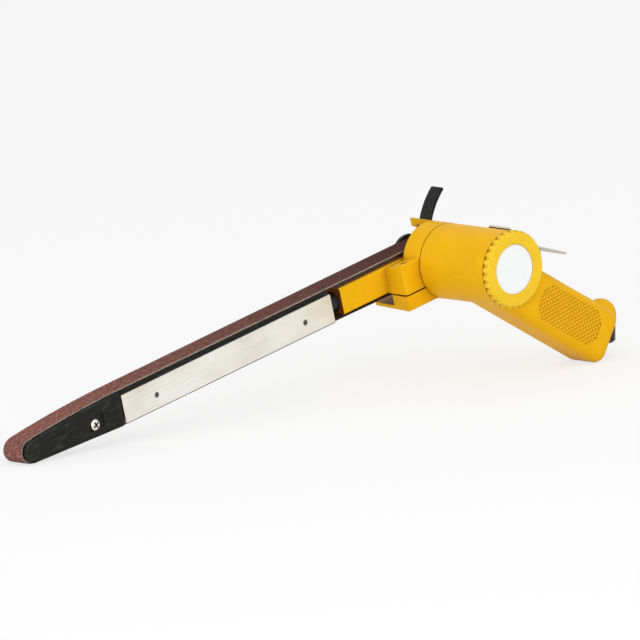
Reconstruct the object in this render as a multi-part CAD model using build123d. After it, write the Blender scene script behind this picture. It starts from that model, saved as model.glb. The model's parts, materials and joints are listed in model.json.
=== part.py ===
from build123d import *
from math import asin, atan2, cos, degrees, hypot, radians, sin
import os

# Air-driven belt file sander, in millimetres.
# It is drawn in the tool frame: X runs along the arm to the nose, Y along the motor axis from the belt to
# the end cap, Z up. The motor axis crosses the middle of the belt at the origin. At the end every piece is
# turned and shifted together, so that the tool lies on its nose and on the heel of its handle.

# Belt and pulleys
belt_width = 12.7
belt_thickness = 0.8
belt_clear = 0.3
centre_distance = 281.0
drive_r = 8.5
idler_r = 5.2
platen_end_x = 215.0
flange_r = 11.2
flange_thickness = 1.5
pulley_width = 13.6
pulley_crown = 0.25
pulley_hub_wall = 2.5
pulley_hub_gap = 0.4
washer = 0.8
washer_rim = 2.6
nut_height = 3.2
nut_across = 10.0
idler_width = 11.6
support_clear = 0.35

# Motor barrel, its nose and its bore
barrel_r = 19.1
barrel_front_y = 20.7
barrel_length = 45.8
nose_r = 14.0
nose_length = 10.5
bore_r = 16.0
front_wall = 6.5
fit_clear = 0.05
seat_clear = 0.02
over_run = 1.0  # how far cuts run past a face, and joined solids into one another

# Motor inside
shaft_r = 4.0
shaft_hole_r = 4.6
thread_r = 3.0
thread_stand = 0.6
bearing_r = 8.0
bearing_width = 5.0
end_plate = 4.0
rear_plate = 6.0
plate_clear = 0.1
cylinder_bore_r = 12.6
cylinder_offset = 1.3
rotor_r = 11.0
rotor_gap = 0.3
vane_count = 4
vane_thickness = 1.6
vane_depth = 5.0

# End cap and badge
cap_r = 19.6
cap_thickness = 3.6
cap_bevel = 1.2
cap_gap = 0.4
cap_neck_r = 18.2
cap_notches = 30
cap_notch_r = 1.0
badge_r = 12.6
badge_thickness = 0.8
badge_recess = 1.8
badge_bevel = 0.6
cap_skirt = 3.0
seal_width = 1.7

# Handle
handle_slope = 42.2
handle_length = 84.0
handle_back = 9.0
handle_step = 0.5
handle_width = 26.0
handle_round = 6.0
heel_r = 5.0
pad_depth = 0.5
pad_start = 27.2
pad_length = 45.0
pad_height = 19.0
pad_middle = -5.0
pad_round = 8.0

# Air inlet and exhaust
inlet_h = 86.7
inlet_u = 8.6
inlet_inset = 19.0
inlet_forward = 15.0
boss_r = 8.0
boss_length = 4.3
neck_r = 7.2
neck_drop = 2.3
neck_length = 16.0
bushing_r = 7.6
bushing_length = 9.9
bushing_bevel = 1.2
spigot_r = 6.6
fitting_clear = 2.4
inlet_thread_r = 5.72
inlet_thread_length = 10.0
inlet_passage_r = 3.6
passage_turn_h = 40.0
passage_turn_u = 2.0
valve_passage_r = 3.0
strainer_thickness = 1.4
strainer_gap = 0.1
exhaust_r = 4.6
exhaust_u = -11.0
exhaust_inset = 9.0
silencer_length = 5.0
silencer_sink = 0.5

# Throttle lever and valve
lever_width = 20.2
lever_sheet = 1.0
lever_round = 4.0
lever_front_h = -4.0
lever_front_u = 19.4
lever_flat_h = 4.0
lever_dip_h = 15.5
lever_dip_u = 17.4
lever_tail_h = 38.0
lever_tail_u = 22.7
cheek_front_h = 10.0
cheek_tail_h = 22.0
cheek_inset = 5.0
pivot_h = 17.5
pivot_u = 14.6
pivot_boss_r = 2.3
pivot_pin_r = 1.25
pin_stand = 0.4
lug_clear = 0.5
lug_edge = 0.3
lug_height = 6.0
valve_h = 26.0
valve_rod_r = 2.0
valve_rod_bevel = 0.7
valve_head_r = 4.4
valve_head = 1.5
valve_bushing_r = 5.0
valve_flange = 1.0
valve_mouth = 5.0
valve_room_low = -8.5
valve_room_high = 4.0
valve_seat_gap = 0.4
valve_top_gap = 0.5
valve_spring_clear = 0.4
valve_spring_wall = 1.0

# Arm base and lower guard
hub_r = 19.2
hub_near_y = 20.2
hub_far_y = 8.5
hub_hole_r = 9.7
hub_nose_gap = 0.3
shell_inner_r = 15.0
shell_far_y = -8.6
roof_front_x = -6.6
part_plane_z = -8.1
part_gap = 0.8
bar_end_x = 62.4
bar_half_width = 7.0
bar_top_z = 6.2
bar_bottom_z = -7.6
bar_edge = 0.7
pulley_room_r = 12.4
web_front_x = 30.4
web_rear_x = 4.0
web_inner_z = 5.4
web_outer_z = 8.2
web_root = 2.0
web_edge = 0.8
guard_front_x = 31.0
guard_tip_x = 28.6
guard_tip_y = -6.8
guard_bottom_z = -16.1
guard_floor = 1.8
clamp_screw_r = 1.6
clamp_hole_clear = 0.2
clamp_head_r = 2.8
clamp_head = 3.0
clamp_sink = 3.2
clamp_bite = 5.5
clamp_socket = 1.25
clamp_socket_depth = 1.6
clamp_front_x = 24.6
clamp_rear_x = -22.0
clamp_y = 15.8
clamp_lug_back = 4.5
clamp_lug_front = 8.0
clamp_lug_rise = 8.0
clamp_lug_drop = 6.0
dimple_r = 2.1
dimple_depth = 3.0

# Guard flap
flap_width = 8.3
flap_thickness = 1.6
flap_x = -9.2
flap_rise = 37.0
flap_turn = 27.0
flap_lean = 30.0
flap_slot_clear = 0.3
flap_stand = 0.4
flap_bead = 1.0
flap_bead_gap = 0.4
flap_bead_side = 1.2
flap_bead_rim = 0.8

# Sliding front arm
rod_r = 5.25
rod_z = -1.2
rod_rear_x = 40.0
rod_front_x = 85.0
rod_bore_end_x = 20.0
spring_wall = 1.8
travel = 7.0
guide_pin_r = 1.8
guide_pin_x = 50.0
guide_slot_clear = 0.2
guide_slot_depth = 2.6
spring_end_gap = 0.3
spring_side_gap = 0.25
arm_rear_x = 69.7
arm_front_x = 217.2
core_half_width = 6.65
core_bottom_z = -5.6
rail_half_width = 5.9
plate_gap = 0.05
plate_thickness = 1.0
plate_top_z = 6.2
plate_bottom_z = -8.9
plate_screw_x = (89.2, 194.2)
plate_screw_z = -1.8
plate_screw_r = 1.0
plate_head_r = 1.5
plate_head = 0.8
plate_screw_length = 5.0
nose_half_width = 8.2
nose_cheek = 1.5
nose_end_r = 5.5
nose_bottom_z = -9.0
nose_core_x = 272.6
tongue_length = 30.0
tongue_half_width = 3.0
tongue_half_height = 3.5
nose_screw_x = 237.8
nose_screw_z = -1.7
nose_screw_r = 1.5
nose_head_r = 2.8
nose_head = 1.9
nose_head_bevel = 0.6
nose_recess = 1.2
nose_recess_front = 4.4
nose_recess_rear = 6.8
nose_recess_down = 2.9
nose_recess_up = 5.2
nose_gap = 0.2
nose_end_back = 0.4
nose_end_drop = 0.5
nose_slot_x = (257.0, 268.2)
nose_slot_z = (1.0, 5.2)
nose_slot_depth = 0.6
nose_pit = (253.9, -0.7)
nose_pit_r = 1.5
nose_rear_bevel = (3.0, 1.2)
nose_facet_start = (217.4, 3.0)
nose_facet_end = (269.0, 6.1)
nose_facet_depth = 1.1
tongue_clear = 0.1
tongue_end_gap = 0.3
axle_r = 1.75
axle_head_r = 3.9
axle_head = 0.9
axle_slot = 0.8
axle_slot_turn = -10.5
idler_bush_wall = 0.9

# Values that follow from the ones above
barrel_end_y = barrel_front_y + barrel_length
bore_front_y = barrel_front_y + front_wall
nose_end_y = barrel_front_y - nose_length
handle_near_y = barrel_end_y - handle_step
handle_far_y = handle_near_y - handle_width
handle_mid_y = handle_near_y - handle_width / 2
handle_front = barrel_r
inlet_y = handle_near_y - inlet_inset
exhaust_y = handle_near_y - exhaust_inset
belt_drive_r = drive_r + belt_clear
belt_idler_r = idler_r + belt_clear
belt_far_y = -belt_width / 2
plate_inner_y = core_half_width + plate_gap
plate_outer_y = plate_inner_y + plate_thickness
reach = 4 * hub_r
slope = radians(handle_slope)
handle_axis = Vector(-cos(slope), 0, -sin(slope))
HANDLE = Plane(origin=(0, 0, 0), x_dir=handle_axis, z_dir=(0, 1, 0))
inlet_axis = Vector(sin(radians(inlet_forward)), 0, -cos(radians(inlet_forward)))


def slab(profile, y_low, y_high):
    """Extrude a profile drawn in X and Z between two places along Y."""
    return extrude(Plane.XZ.offset(-y_high) * profile, y_high - y_low)


def disc(r, y_low, y_high, x=0.0, z=0.0):
    """A round bar along Y."""
    return slab(Pos(x, z) * Circle(r), y_low, y_high)


def ring(r_out, r_in, y_low, y_high):
    """A round ring along Y about the motor axis."""
    return slab(Circle(r_out) - Circle(r_in), y_low, y_high)


def block(x, y, z):
    """A box from its low and high places along X, Y and Z."""
    size = [high - low for low, high in (x, y, z)]
    middle = [(high + low) / 2 for low, high in (x, y, z)]
    return Pos(*middle) * Box(*size)


def rect(x, z):
    """A rectangle from its low and high places."""
    return Pos((x[0] + x[1]) / 2, (z[0] + z[1]) / 2) * Rectangle(x[1] - x[0], z[1] - z[0])


def handle_slab(profile, y_low, y_high):
    """Extrude a profile drawn along the handle and up from it between two places along Y."""
    return extrude(HANDLE.offset(y_low) * profile, y_high - y_low)


def rod_between(r, start, end):
    """A round bar from one point to another."""
    start = Vector(*start)
    axis = Vector(*end) - start
    return extrude(Plane(origin=start, z_dir=axis.normalized()) * Circle(r), axis.length)


def at_handle(h, u, y):
    """The place that lies h along the handle, u up from its axis and y along the motor axis."""
    return HANDLE.from_local_coords(Vector(h, u, y))


def belt_inner_face():
    """The area inside the belt: both pulleys, flat top run, crowned nose and straight return run."""
    crown_run = centre_distance - platen_end_x
    drop = belt_drive_r - belt_idler_r
    crown_r = (crown_run**2 + belt_drive_r**2 - belt_idler_r**2) / (2 * drop)
    crown_z = belt_drive_r - crown_r
    aim = Vector(crown_run, -crown_z).normalized()
    half = Vector(aim.X / 2, (1 + aim.Y) / 2).normalized()
    crown_mid = (platen_end_x + crown_r * half.X, crown_z + crown_r * half.Y)
    crown_end = (platen_end_x + crown_r * aim.X, crown_z + crown_r * aim.Y)
    tilt = asin(drop / centre_distance)
    low = (sin(tilt), -cos(tilt))
    idler_low = (centre_distance + belt_idler_r * low[0], belt_idler_r * low[1])
    drive_low = (belt_drive_r * low[0], belt_drive_r * low[1])
    edges = [
        Line((0, belt_drive_r), (platen_end_x, belt_drive_r)),
        ThreePointArc((platen_end_x, belt_drive_r), crown_mid, crown_end),
        ThreePointArc(crown_end, (centre_distance + belt_idler_r, 0), idler_low),
        Line(idler_low, drive_low),
        ThreePointArc(drive_low, (-belt_drive_r, 0), (0, belt_drive_r)),
    ]
    return make_face(Wire(edges))


inner_face = belt_inner_face()
support_face = offset(inner_face, -support_clear)
nodes = {}


# Motor body: barrel, nose, handle and inlet elbow in one casting
def make_handle():
    """The grip, tangent to the barrel in front, with rounded edges and heel."""
    grip_face = rect((0, handle_length), (-handle_front, handle_back))
    grip = handle_slab(grip_face, handle_far_y, handle_near_y)
    along = grip.edges().filter_by(Axis((0, 0, 0), tuple(handle_axis)))
    grip = fillet(along, handle_round)
    end_face = grip.faces().sort_by(Axis((0, 0, 0), tuple(handle_axis)))[-1]
    return fillet(end_face.edges(), heel_r)


def pad_face():
    """Outline of the checkered pad on the side of the handle."""
    middle = pad_start + pad_length / 2
    return Pos(middle, pad_middle) * RectangleRounded(pad_length, pad_height, pad_round)


inlet_place = at_handle(inlet_h, inlet_u, inlet_y)
inlet_plane = Plane(origin=inlet_place, x_dir=(0, 1, 0), z_dir=inlet_axis)
bushing_end = boss_length + bushing_length
pad_near = handle_slab(pad_face(), handle_near_y - pad_depth, handle_near_y + pad_depth)
pad_far = handle_slab(pad_face(), handle_far_y - pad_depth, handle_far_y + pad_depth)
cheek_half_width = lever_width / 2 - cheek_inset
lug_half_width = cheek_half_width - lever_sheet - lug_clear
neck_u = inlet_u - boss_r + neck_r - neck_drop


def make_motor_body():
    """The casting, hollowed for the motor, the valve and the air."""
    body = disc(barrel_r, barrel_front_y, barrel_end_y)
    body += disc(nose_r, nose_end_y, barrel_front_y + over_run)
    body += make_handle()
    body += inlet_plane * Sphere(boss_r)
    body += inlet_plane * extrude(Circle(boss_r), boss_length)
    neck_start = at_handle(inlet_h - neck_length, neck_u, inlet_y)
    body += rod_between(neck_r, neck_start, at_handle(inlet_h, neck_u, inlet_y))
    lug_r = pivot_boss_r - lug_edge
    lug_face = Pos(pivot_h, pivot_u) * Circle(lug_r)
    lug_face += rect((pivot_h - lug_r, pivot_h + lug_r), (pivot_u - lug_height, pivot_u))
    body += handle_slab(lug_face, handle_mid_y - lug_half_width, handle_mid_y + lug_half_width)
    body -= disc(bore_r, bore_front_y, barrel_end_y)
    body -= disc(bearing_r + seat_clear, bore_front_y - bearing_width, bore_front_y)
    body -= disc(shaft_hole_r, nose_end_y, bore_front_y)
    hole = Pos(pivot_h, pivot_u) * Circle(pivot_pin_r + seat_clear)
    body -= handle_slab(hole, handle_far_y, handle_near_y)
    body -= pad_near + pad_far
    valve_foot = at_handle(valve_h, valve_room_low, handle_mid_y)
    valve_open = at_handle(valve_h, handle_back + valve_mouth, handle_mid_y)
    body -= rod_between(valve_bushing_r + seat_clear, valve_foot, valve_open)
    passage_turn = at_handle(passage_turn_h, passage_turn_u, inlet_y)
    body -= rod_between(inlet_passage_r, passage_turn, at_handle(inlet_h, neck_u, inlet_y))
    valve_side = at_handle(valve_h, (valve_room_low + valve_room_high) / 2, handle_mid_y)
    valve_feed = at_handle(passage_turn_h + valve_rod_r, passage_turn_u, inlet_y)
    body -= rod_between(valve_passage_r, valve_feed, valve_side)
    exhaust_start = at_handle(bore_r, exhaust_u, exhaust_y)
    exhaust_end = at_handle(handle_length + over_run, exhaust_u, exhaust_y)
    body -= rod_between(exhaust_r, exhaust_start, exhaust_end)
    body -= inlet_plane * extrude(Circle(spigot_r + seat_clear), boss_length, both=True)
    fitting_room = inlet_plane.offset(boss_length) * Circle(boss_r + fitting_clear)
    body -= extrude(fitting_room, 4 * bushing_length)
    return body


nodes["motor_body"] = make_motor_body()


# End cap with its badge place
def make_end_cap():
    """The scalloped cap: a flange on the barrel's end and a threaded skirt in the bore."""
    cap = disc(cap_r, barrel_end_y + cap_gap, cap_end_y) - disc(badge_r + seat_clear, badge_y, cap_end_y)
    front_rims = cap.faces().sort_by(Axis.Y)[-1].edges().sort_by(SortBy.RADIUS)
    cap = chamfer(front_rims[0], badge_bevel)
    cap = chamfer(cap.faces().sort_by(Axis.Y)[-1].edges().sort_by(SortBy.RADIUS)[-1], cap_bevel)
    notch = slab(Circle(cap_notch_r), barrel_end_y, cap_end_y)
    cap -= [Rot(0, 360 * i / cap_notches, 0) * Pos(cap_r, 0, 0) * notch for i in range(cap_notches)]
    cap += disc(cap_neck_r, barrel_end_y, barrel_end_y + cap_gap)
    cap += disc(bore_r - seat_clear, cap_skirt_y, barrel_end_y)
    cap -= disc(bearing_r, cap_skirt_y, barrel_end_y)
    return cap - ring(bore_r, seal_inner_r, seal_low_y, seal_high_y)


cap_end_y = barrel_end_y + cap_gap + cap_thickness
badge_y = cap_end_y - badge_recess
cap_skirt_y = barrel_end_y - cap_skirt
front_plate_y = bore_front_y + 2 * plate_clear
cylinder_front_y = front_plate_y + end_plate
cylinder_rear_y = cap_skirt_y - plate_clear - rear_plate
seal_low_y = (cap_skirt_y + barrel_end_y - seal_width) / 2
seal_high_y = seal_low_y + seal_width
seal_inner_r = bore_r - seal_width
nodes["end_cap"] = make_end_cap()
nodes["badge_disc"] = disc(badge_r - seat_clear, badge_y, badge_y + badge_thickness)
seal_face = Circle(bore_r - seat_clear) - Circle(seal_inner_r + seat_clear)
nodes["cap_seal"] = slab(seal_face, seal_low_y + seat_clear, seal_high_y - seat_clear)

# Vane motor
inside_r = bore_r - seat_clear
nodes["front_end_plate"] = ring(inside_r, shaft_hole_r, front_plate_y, cylinder_front_y)
cylinder_face = Circle(inside_r) - Pos(0, -cylinder_offset) * Circle(cylinder_bore_r)
nodes["motor_cylinder"] = slab(cylinder_face, cylinder_front_y, cylinder_rear_y)
rear_plate_end_y = cylinder_rear_y + rear_plate
rear_bearing_y = rear_plate_end_y - bearing_width
rear = ring(inside_r, shaft_hole_r, cylinder_rear_y, rear_plate_end_y)
nodes["rear_end_plate"] = rear - disc(bearing_r + seat_clear, rear_bearing_y, rear_plate_end_y)
bearing_bore_r = shaft_r + fit_clear
nodes["front_bearing"] = ring(bearing_r, bearing_bore_r, bore_front_y - bearing_width, bore_front_y)
nodes["rear_bearing"] = ring(bearing_r, bearing_bore_r, rear_bearing_y, rear_plate_end_y)

pulley_far_y = -pulley_width / 2
flange_far_y = pulley_far_y - flange_thickness
washer_far_y = flange_far_y - washer
nut_far_y = washer_far_y - nut_height
pulley_hub_y = hub_far_y - pulley_hub_gap


def make_rotor():
    """The rotor drum on its shaft, with slots for the vanes and a thread for the pulley nut."""
    rotor = disc(rotor_r, cylinder_front_y + rotor_gap, cylinder_rear_y - rotor_gap)
    slot_half = vane_thickness / 2 + fit_clear
    slot = rect((rotor_r - vane_depth - rotor_gap, 2 * rotor_r), (-slot_half, slot_half))
    slot_solid = slab(slot, cylinder_front_y, cylinder_rear_y)
    rotor -= [Rot(0, 360 * i / vane_count, 0) * slot_solid for i in range(vane_count)]
    rotor += disc(shaft_r, flange_far_y, rear_plate_end_y - rotor_gap)
    rotor += disc(thread_r, nut_far_y - thread_stand, flange_far_y)
    return rotor


nodes["rotor"] = make_rotor()
vane_face = rect((rotor_r - vane_depth, rotor_r), (-vane_thickness / 2, vane_thickness / 2))
vane = slab(vane_face, cylinder_front_y + rotor_gap, cylinder_rear_y - rotor_gap)
nodes["vanes"] = Compound(children=[Rot(0, 360 * i / vane_count, 0) * vane for i in range(vane_count)])


def make_drive_pulley():
    """The driving roller with a fine crown, a hub and a flange on its far side."""
    near_y = -pulley_far_y
    bore = shaft_r + seat_clear
    edge_r = drive_r - pulley_crown
    hub = shaft_r + pulley_hub_wall
    half = Polyline(
        (bore, flange_far_y), (flange_r, flange_far_y), (flange_r, pulley_far_y), (edge_r, pulley_far_y),
        (drive_r, 0), (edge_r, near_y), (hub, near_y), (hub, pulley_hub_y), (bore, pulley_hub_y),
        (bore, flange_far_y),
    )
    return revolve(make_face(half), Axis.Y)


nodes["drive_pulley"] = make_drive_pulley()
nodes["pulley_washer"] = ring(thread_r + washer_rim, thread_r + seat_clear, washer_far_y, flange_far_y)
nut_face = RegularPolygon(nut_across / 2, 6, major_radius=False) - Circle(thread_r + seat_clear)
nodes["pulley_nut"] = slab(nut_face, nut_far_y, washer_far_y)

# Inlet, exhaust and valve
bushing = inlet_plane.offset(boss_length) * extrude(Circle(bushing_r), bushing_length)
bushing = chamfer(bushing.edges().sort_by(Axis((0, 0, 0), tuple(inlet_axis)))[-1], bushing_bevel)
bushing += inlet_plane * extrude(Circle(spigot_r), boss_length)
thread_start = bushing_end - inlet_thread_length
bushing -= inlet_plane.offset(thread_start) * extrude(Circle(inlet_thread_r), inlet_thread_length + over_run)
bushing -= inlet_plane * extrude(Circle(inlet_passage_r), bushing_end)
nodes["inlet_bushing"] = bushing
strainer_place = inlet_plane.offset(-strainer_thickness - strainer_gap)
nodes["inlet_strainer"] = strainer_place * extrude(Circle(spigot_r), strainer_thickness)
silencer_start = at_handle(handle_length - silencer_sink - silencer_length, exhaust_u, exhaust_y)
silencer_end = at_handle(handle_length - silencer_sink, exhaust_u, exhaust_y)
nodes["exhaust_silencer"] = rod_between(exhaust_r - seat_clear, silencer_start, silencer_end)

valve_low = at_handle(valve_h, valve_room_high, handle_mid_y)
valve_high = at_handle(valve_h, handle_back + valve_flange, handle_mid_y)
valve_bushing = rod_between(valve_bushing_r, valve_low, valve_high)
valve_bushing -= rod_between(valve_rod_r + fit_clear, valve_low, valve_high)
nodes["valve_bushing"] = valve_bushing


def lever_under_u(h):
    """Height of the lever's underside behind its dip."""
    return lever_dip_u + (h - lever_dip_h) * (lever_tail_u - lever_dip_u) / (lever_tail_h - lever_dip_h)


valve_head_u = valve_room_high - valve_seat_gap
valve_top_u = lever_under_u(valve_h) - valve_top_gap
head_low = at_handle(valve_h, valve_head_u - valve_head, handle_mid_y)
head_high = at_handle(valve_h, valve_head_u, handle_mid_y)
plunger = rod_between(valve_rod_r, head_low, at_handle(valve_h, valve_top_u, handle_mid_y))
plunger_top = plunger.edges().sort_by(Axis((0, 0, 0), tuple(HANDLE.y_dir)))[-1]
plunger = chamfer(plunger_top, valve_rod_bevel)
plunger += rod_between(valve_head_r, head_low, head_high)
nodes["valve_plunger"] = plunger
spring_low = at_handle(valve_h, valve_room_low + spring_end_gap, handle_mid_y)
spring_high = at_handle(valve_h, valve_head_u - valve_head - spring_end_gap, handle_mid_y)
valve_spring_r = valve_head_r - valve_spring_clear
valve_spring = rod_between(valve_spring_r, spring_low, spring_high)
valve_spring -= rod_between(valve_spring_r - valve_spring_wall, spring_low, spring_high)
nodes["valve_spring"] = valve_spring


# Throttle lever, a folded sheet
def make_lever():
    """The lever: a sheet that dips behind the barrel and rises to its tail, with two cheeks at the pivot."""
    low_y = handle_mid_y - lever_width / 2
    high_y = handle_mid_y + lever_width / 2
    under = [
        (lever_front_h, lever_front_u), (lever_flat_h, lever_front_u),
        (lever_dip_h, lever_dip_u), (lever_tail_h, lever_tail_u),
    ]
    over = [(h, u + lever_sheet) for h, u in reversed(under)]
    lever = handle_slab(make_face(Polyline(*under, *over, under[0])), low_y, high_y)
    plan = Plane(origin=at_handle(0, 0, handle_mid_y), x_dir=handle_axis, z_dir=HANDLE.y_dir)
    plan_middle = (lever_front_h + lever_tail_h) / 2
    lever_length = lever_tail_h - lever_front_h
    plan_face = Pos(plan_middle, 0) * RectangleRounded(lever_length, lever_width, lever_round)
    lever &= extrude(plan * plan_face, 2 * lever_tail_u)
    half_sheet = lever_sheet / 2
    dip_rise = (lever_front_u - lever_dip_u) / (lever_dip_h - lever_flat_h)
    cheek_front_u = lever_dip_u + (lever_dip_h - cheek_front_h) * dip_rise
    cheek = make_face(Polyline(
        (cheek_front_h, cheek_front_u + half_sheet), (lever_dip_h, lever_dip_u + half_sheet),
        (cheek_tail_h, lever_under_u(cheek_tail_h) + half_sheet), (pivot_h + pivot_boss_r, pivot_u),
        (pivot_h - pivot_boss_r, pivot_u), (cheek_front_h, cheek_front_u + half_sheet),
    ))
    cheek += Pos(pivot_h, pivot_u) * Circle(pivot_boss_r)
    cheek -= Pos(pivot_h, pivot_u) * Circle(pivot_pin_r + fit_clear)
    far_cheek_y = handle_mid_y - cheek_half_width
    near_cheek_y = handle_mid_y + cheek_half_width
    lever += handle_slab(cheek, far_cheek_y, far_cheek_y + lever_sheet)
    lever += handle_slab(cheek, near_cheek_y - lever_sheet, near_cheek_y)
    return lever


nodes["throttle_lever"] = make_lever()
pin_face = Pos(pivot_h, pivot_u) * Circle(pivot_pin_r)
pin_half = cheek_half_width + pin_stand
nodes["lever_pin"] = handle_slab(pin_face, handle_mid_y - pin_half, handle_mid_y + pin_half)


# Arm base and lower guard
def make_web():
    """The block beside the bar that carries the hub and the front clamp screw; its top rises outwards."""
    root_y = bar_half_width - web_root
    end_face = make_face(Polyline(
        (root_y, part_high), (hub_near_y, part_high), (hub_near_y, web_outer_z),
        (bar_half_width, web_inner_z), (root_y, web_inner_z), (root_y, part_high),
    ))
    web = extrude(Plane.YZ.offset(web_rear_x) * end_face, web_front_x - web_rear_x)
    front_edge = web.faces().sort_by(Axis.X)[-1].edges().filter_by(Axis.Z).sort_by(Axis.Y)[-1]
    top_edge = web.edges().filter_by(Axis.X).sort_by(Axis.Z)[-1]
    return chamfer([front_edge, top_edge], web_edge)


part_low = part_plane_z - part_gap / 2
part_high = part_plane_z + part_gap / 2
across = (-reach, reach)
guard_back = block((-reach, roof_front_x), across, across)
above = block(across, across, (part_high, reach))
below = block(across, across, (-reach, part_low))
lug_x = (clamp_rear_x - clamp_lug_back, clamp_rear_x + clamp_lug_front)
lug_y = (hub_far_y, hub_near_y)
clamp_feet = {clamp_front_x: guard_bottom_z, clamp_rear_x: part_low - clamp_lug_drop}
clamp_top_z = part_high + clamp_bite
pulley_room = disc(pulley_room_r, shell_far_y - over_run, hub_far_y)
nose_room = disc(nose_r + fit_clear, nose_end_y - hub_nose_gap, hub_near_y + over_run)
belt_room_y = (shell_far_y - over_run, hub_far_y)
flap_foot_angle = degrees(atan2((hub_r**2 - flap_x**2) ** 0.5, flap_x))
flap_out = Vector(cos(radians(flap_foot_angle)), 0, sin(radians(flap_foot_angle)))


def make_arm_base():
    """Hub, pulley roof, web and bored bar in one casting, open on the far side for the belt."""
    bar = block((0, bar_end_x), (-bar_half_width, bar_half_width), (bar_bottom_z, bar_top_z))
    bar = chamfer(bar.edges().filter_by(Axis.X), bar_edge)
    base = disc(hub_r, hub_far_y, hub_near_y) & above
    base += ring(hub_r, shell_inner_r, shell_far_y, hub_far_y) & guard_back & above
    base += make_web()
    base += bar
    base += block(lug_x, lug_y, (part_high, part_high + clamp_lug_rise))
    base -= pulley_room
    base -= nose_room
    base -= disc(hub_hole_r, hub_far_y - over_run, nose_end_y)
    base -= block((0, bar_end_x), belt_room_y, (part_high - over_run, bar_bottom_z))
    base -= rod_between(rod_r + fit_clear, (rod_bore_end_x, 0, rod_z), (bar_end_x + over_run, 0, rod_z))
    base -= disc(guide_pin_r + seat_clear, -bar_half_width - over_run, 0, guide_pin_x, rod_z)
    dimple_foot = (clamp_front_x, clamp_y, web_outer_z - dimple_depth)
    base -= rod_between(dimple_r, dimple_foot, (clamp_front_x, clamp_y, web_outer_z + over_run))
    for x in clamp_feet:
        hole_top = (x, clamp_y, clamp_top_z + fit_clear)
        base -= rod_between(clamp_screw_r + seat_clear, (x, clamp_y, part_low), hole_top)
    base -= flap_slot()
    return base


def flap_slot():
    """The slot in the roof that the flap is pushed through."""
    foot = Plane(origin=flap_out * (shell_inner_r - over_run), x_dir=(0, 1, 0), z_dir=flap_out)
    clear = 2 * flap_slot_clear
    depth = hub_r - shell_inner_r + 2 * over_run
    return extrude(foot * Rectangle(flap_width + clear, flap_thickness + clear), depth)


def make_lower_guard():
    """The lower jaw of the hub, which goes on as a floor under the belt with a solid near side."""
    floor_x = (hub_r**2 - guard_bottom_z**2) ** 0.5
    floor_top_z = guard_bottom_z + guard_floor
    guard = disc(hub_r, hub_far_y, hub_near_y) & below
    shell = ring(hub_r, shell_inner_r, shell_far_y, hub_far_y) & below
    guard += shell & block((-reach, floor_x), across, across)
    plan = make_face(Polyline(
        (0, shell_far_y), (guard_tip_x, guard_tip_y), (guard_front_x, hub_near_y), (0, hub_near_y),
        (0, shell_far_y),
    ))
    guard += extrude(Plane.XY.offset(guard_bottom_z) * plan, part_low - guard_bottom_z)
    guard += block(lug_x, lug_y, (part_low - clamp_lug_drop, part_low))
    guard -= nose_room
    guard -= disc(shell_inner_r, shell_far_y - over_run, hub_far_y)
    tunnel_x = (shell_inner_r**2 - floor_top_z**2) ** 0.5
    tunnel = make_face(Polyline(
        (0, part_high), (reach, part_high), (reach, floor_top_z), (tunnel_x, floor_top_z),
        (0, -shell_inner_r), (0, part_high),
    ))
    guard -= slab(tunnel, *belt_room_y)
    for x, foot in clamp_feet.items():
        guard -= rod_between(clamp_screw_r + clamp_hole_clear, (x, clamp_y, foot), (x, clamp_y, part_high))
        head_room_r = clamp_head_r + clamp_hole_clear
        guard -= rod_between(head_room_r, (x, clamp_y, -reach), (x, clamp_y, foot + clamp_sink))
    return guard


nodes["arm_base"] = make_arm_base()
nodes["lower_guard"] = make_lower_guard()


def make_clamp_screw(x, foot):
    """A sunk socket-head screw that pulls the lower jaw up to the base."""
    seat_z = foot + clamp_sink
    screw = rod_between(clamp_screw_r, (x, clamp_y, seat_z), (x, clamp_y, clamp_top_z))
    screw += rod_between(clamp_head_r, (x, clamp_y, seat_z - clamp_head), (x, clamp_y, seat_z))
    socket_face = Pos(x, clamp_y) * RegularPolygon(clamp_socket, 6, major_radius=False)
    return screw - extrude(Plane.XY.offset(seat_z - clamp_head) * socket_face, clamp_socket_depth)


nodes["clamp_screws"] = Compound(children=[make_clamp_screw(x, foot) for x, foot in clamp_feet.items()])


# Guard flap: a rubber strip pushed through the roof, held by a bead inside
def make_flap():
    """The flap leans back in a gentle arc; its bead lies under the roof."""
    foot = flap_out * (shell_inner_r - flap_bead_gap)
    rise = flap_out * (hub_r + flap_stand)
    lean = radians(90 + flap_lean)
    heading = Vector(cos(lean), 0, sin(lean))
    side = Vector(-heading.Z, 0, heading.X)
    turn = radians(flap_turn)
    centre = rise + side * flap_rise

    def on_arc(angle, r):
        spoke = side * -cos(angle) + heading * sin(angle)
        place = centre + spoke * r
        return (place.X, place.Z)

    outer = flap_rise + flap_thickness / 2
    inner = flap_rise - flap_thickness / 2
    face = make_face(
        ThreePointArc(on_arc(0, outer), on_arc(turn / 2, outer), on_arc(turn, outer))
        + Line(on_arc(turn, outer), on_arc(turn, inner))
        + ThreePointArc(on_arc(turn, inner), on_arc(turn / 2, inner), on_arc(0, inner))
        + Line(on_arc(0, inner), on_arc(0, outer))
    )
    strip = slab(face, -flap_width / 2, flap_width / 2)
    bead_plane = Plane(origin=foot - flap_out * flap_bead, x_dir=(0, 1, 0), z_dir=flap_out)
    stem_length = (rise - foot).length + flap_bead + flap_stand
    strip += extrude(bead_plane * Rectangle(flap_width, flap_thickness), stem_length)
    bead = Rectangle(flap_width + 2 * flap_bead_side, flap_thickness + 2 * flap_bead_rim)
    return strip + extrude(bead_plane * bead, flap_bead)


nodes["guard_flap"] = make_flap()

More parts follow.
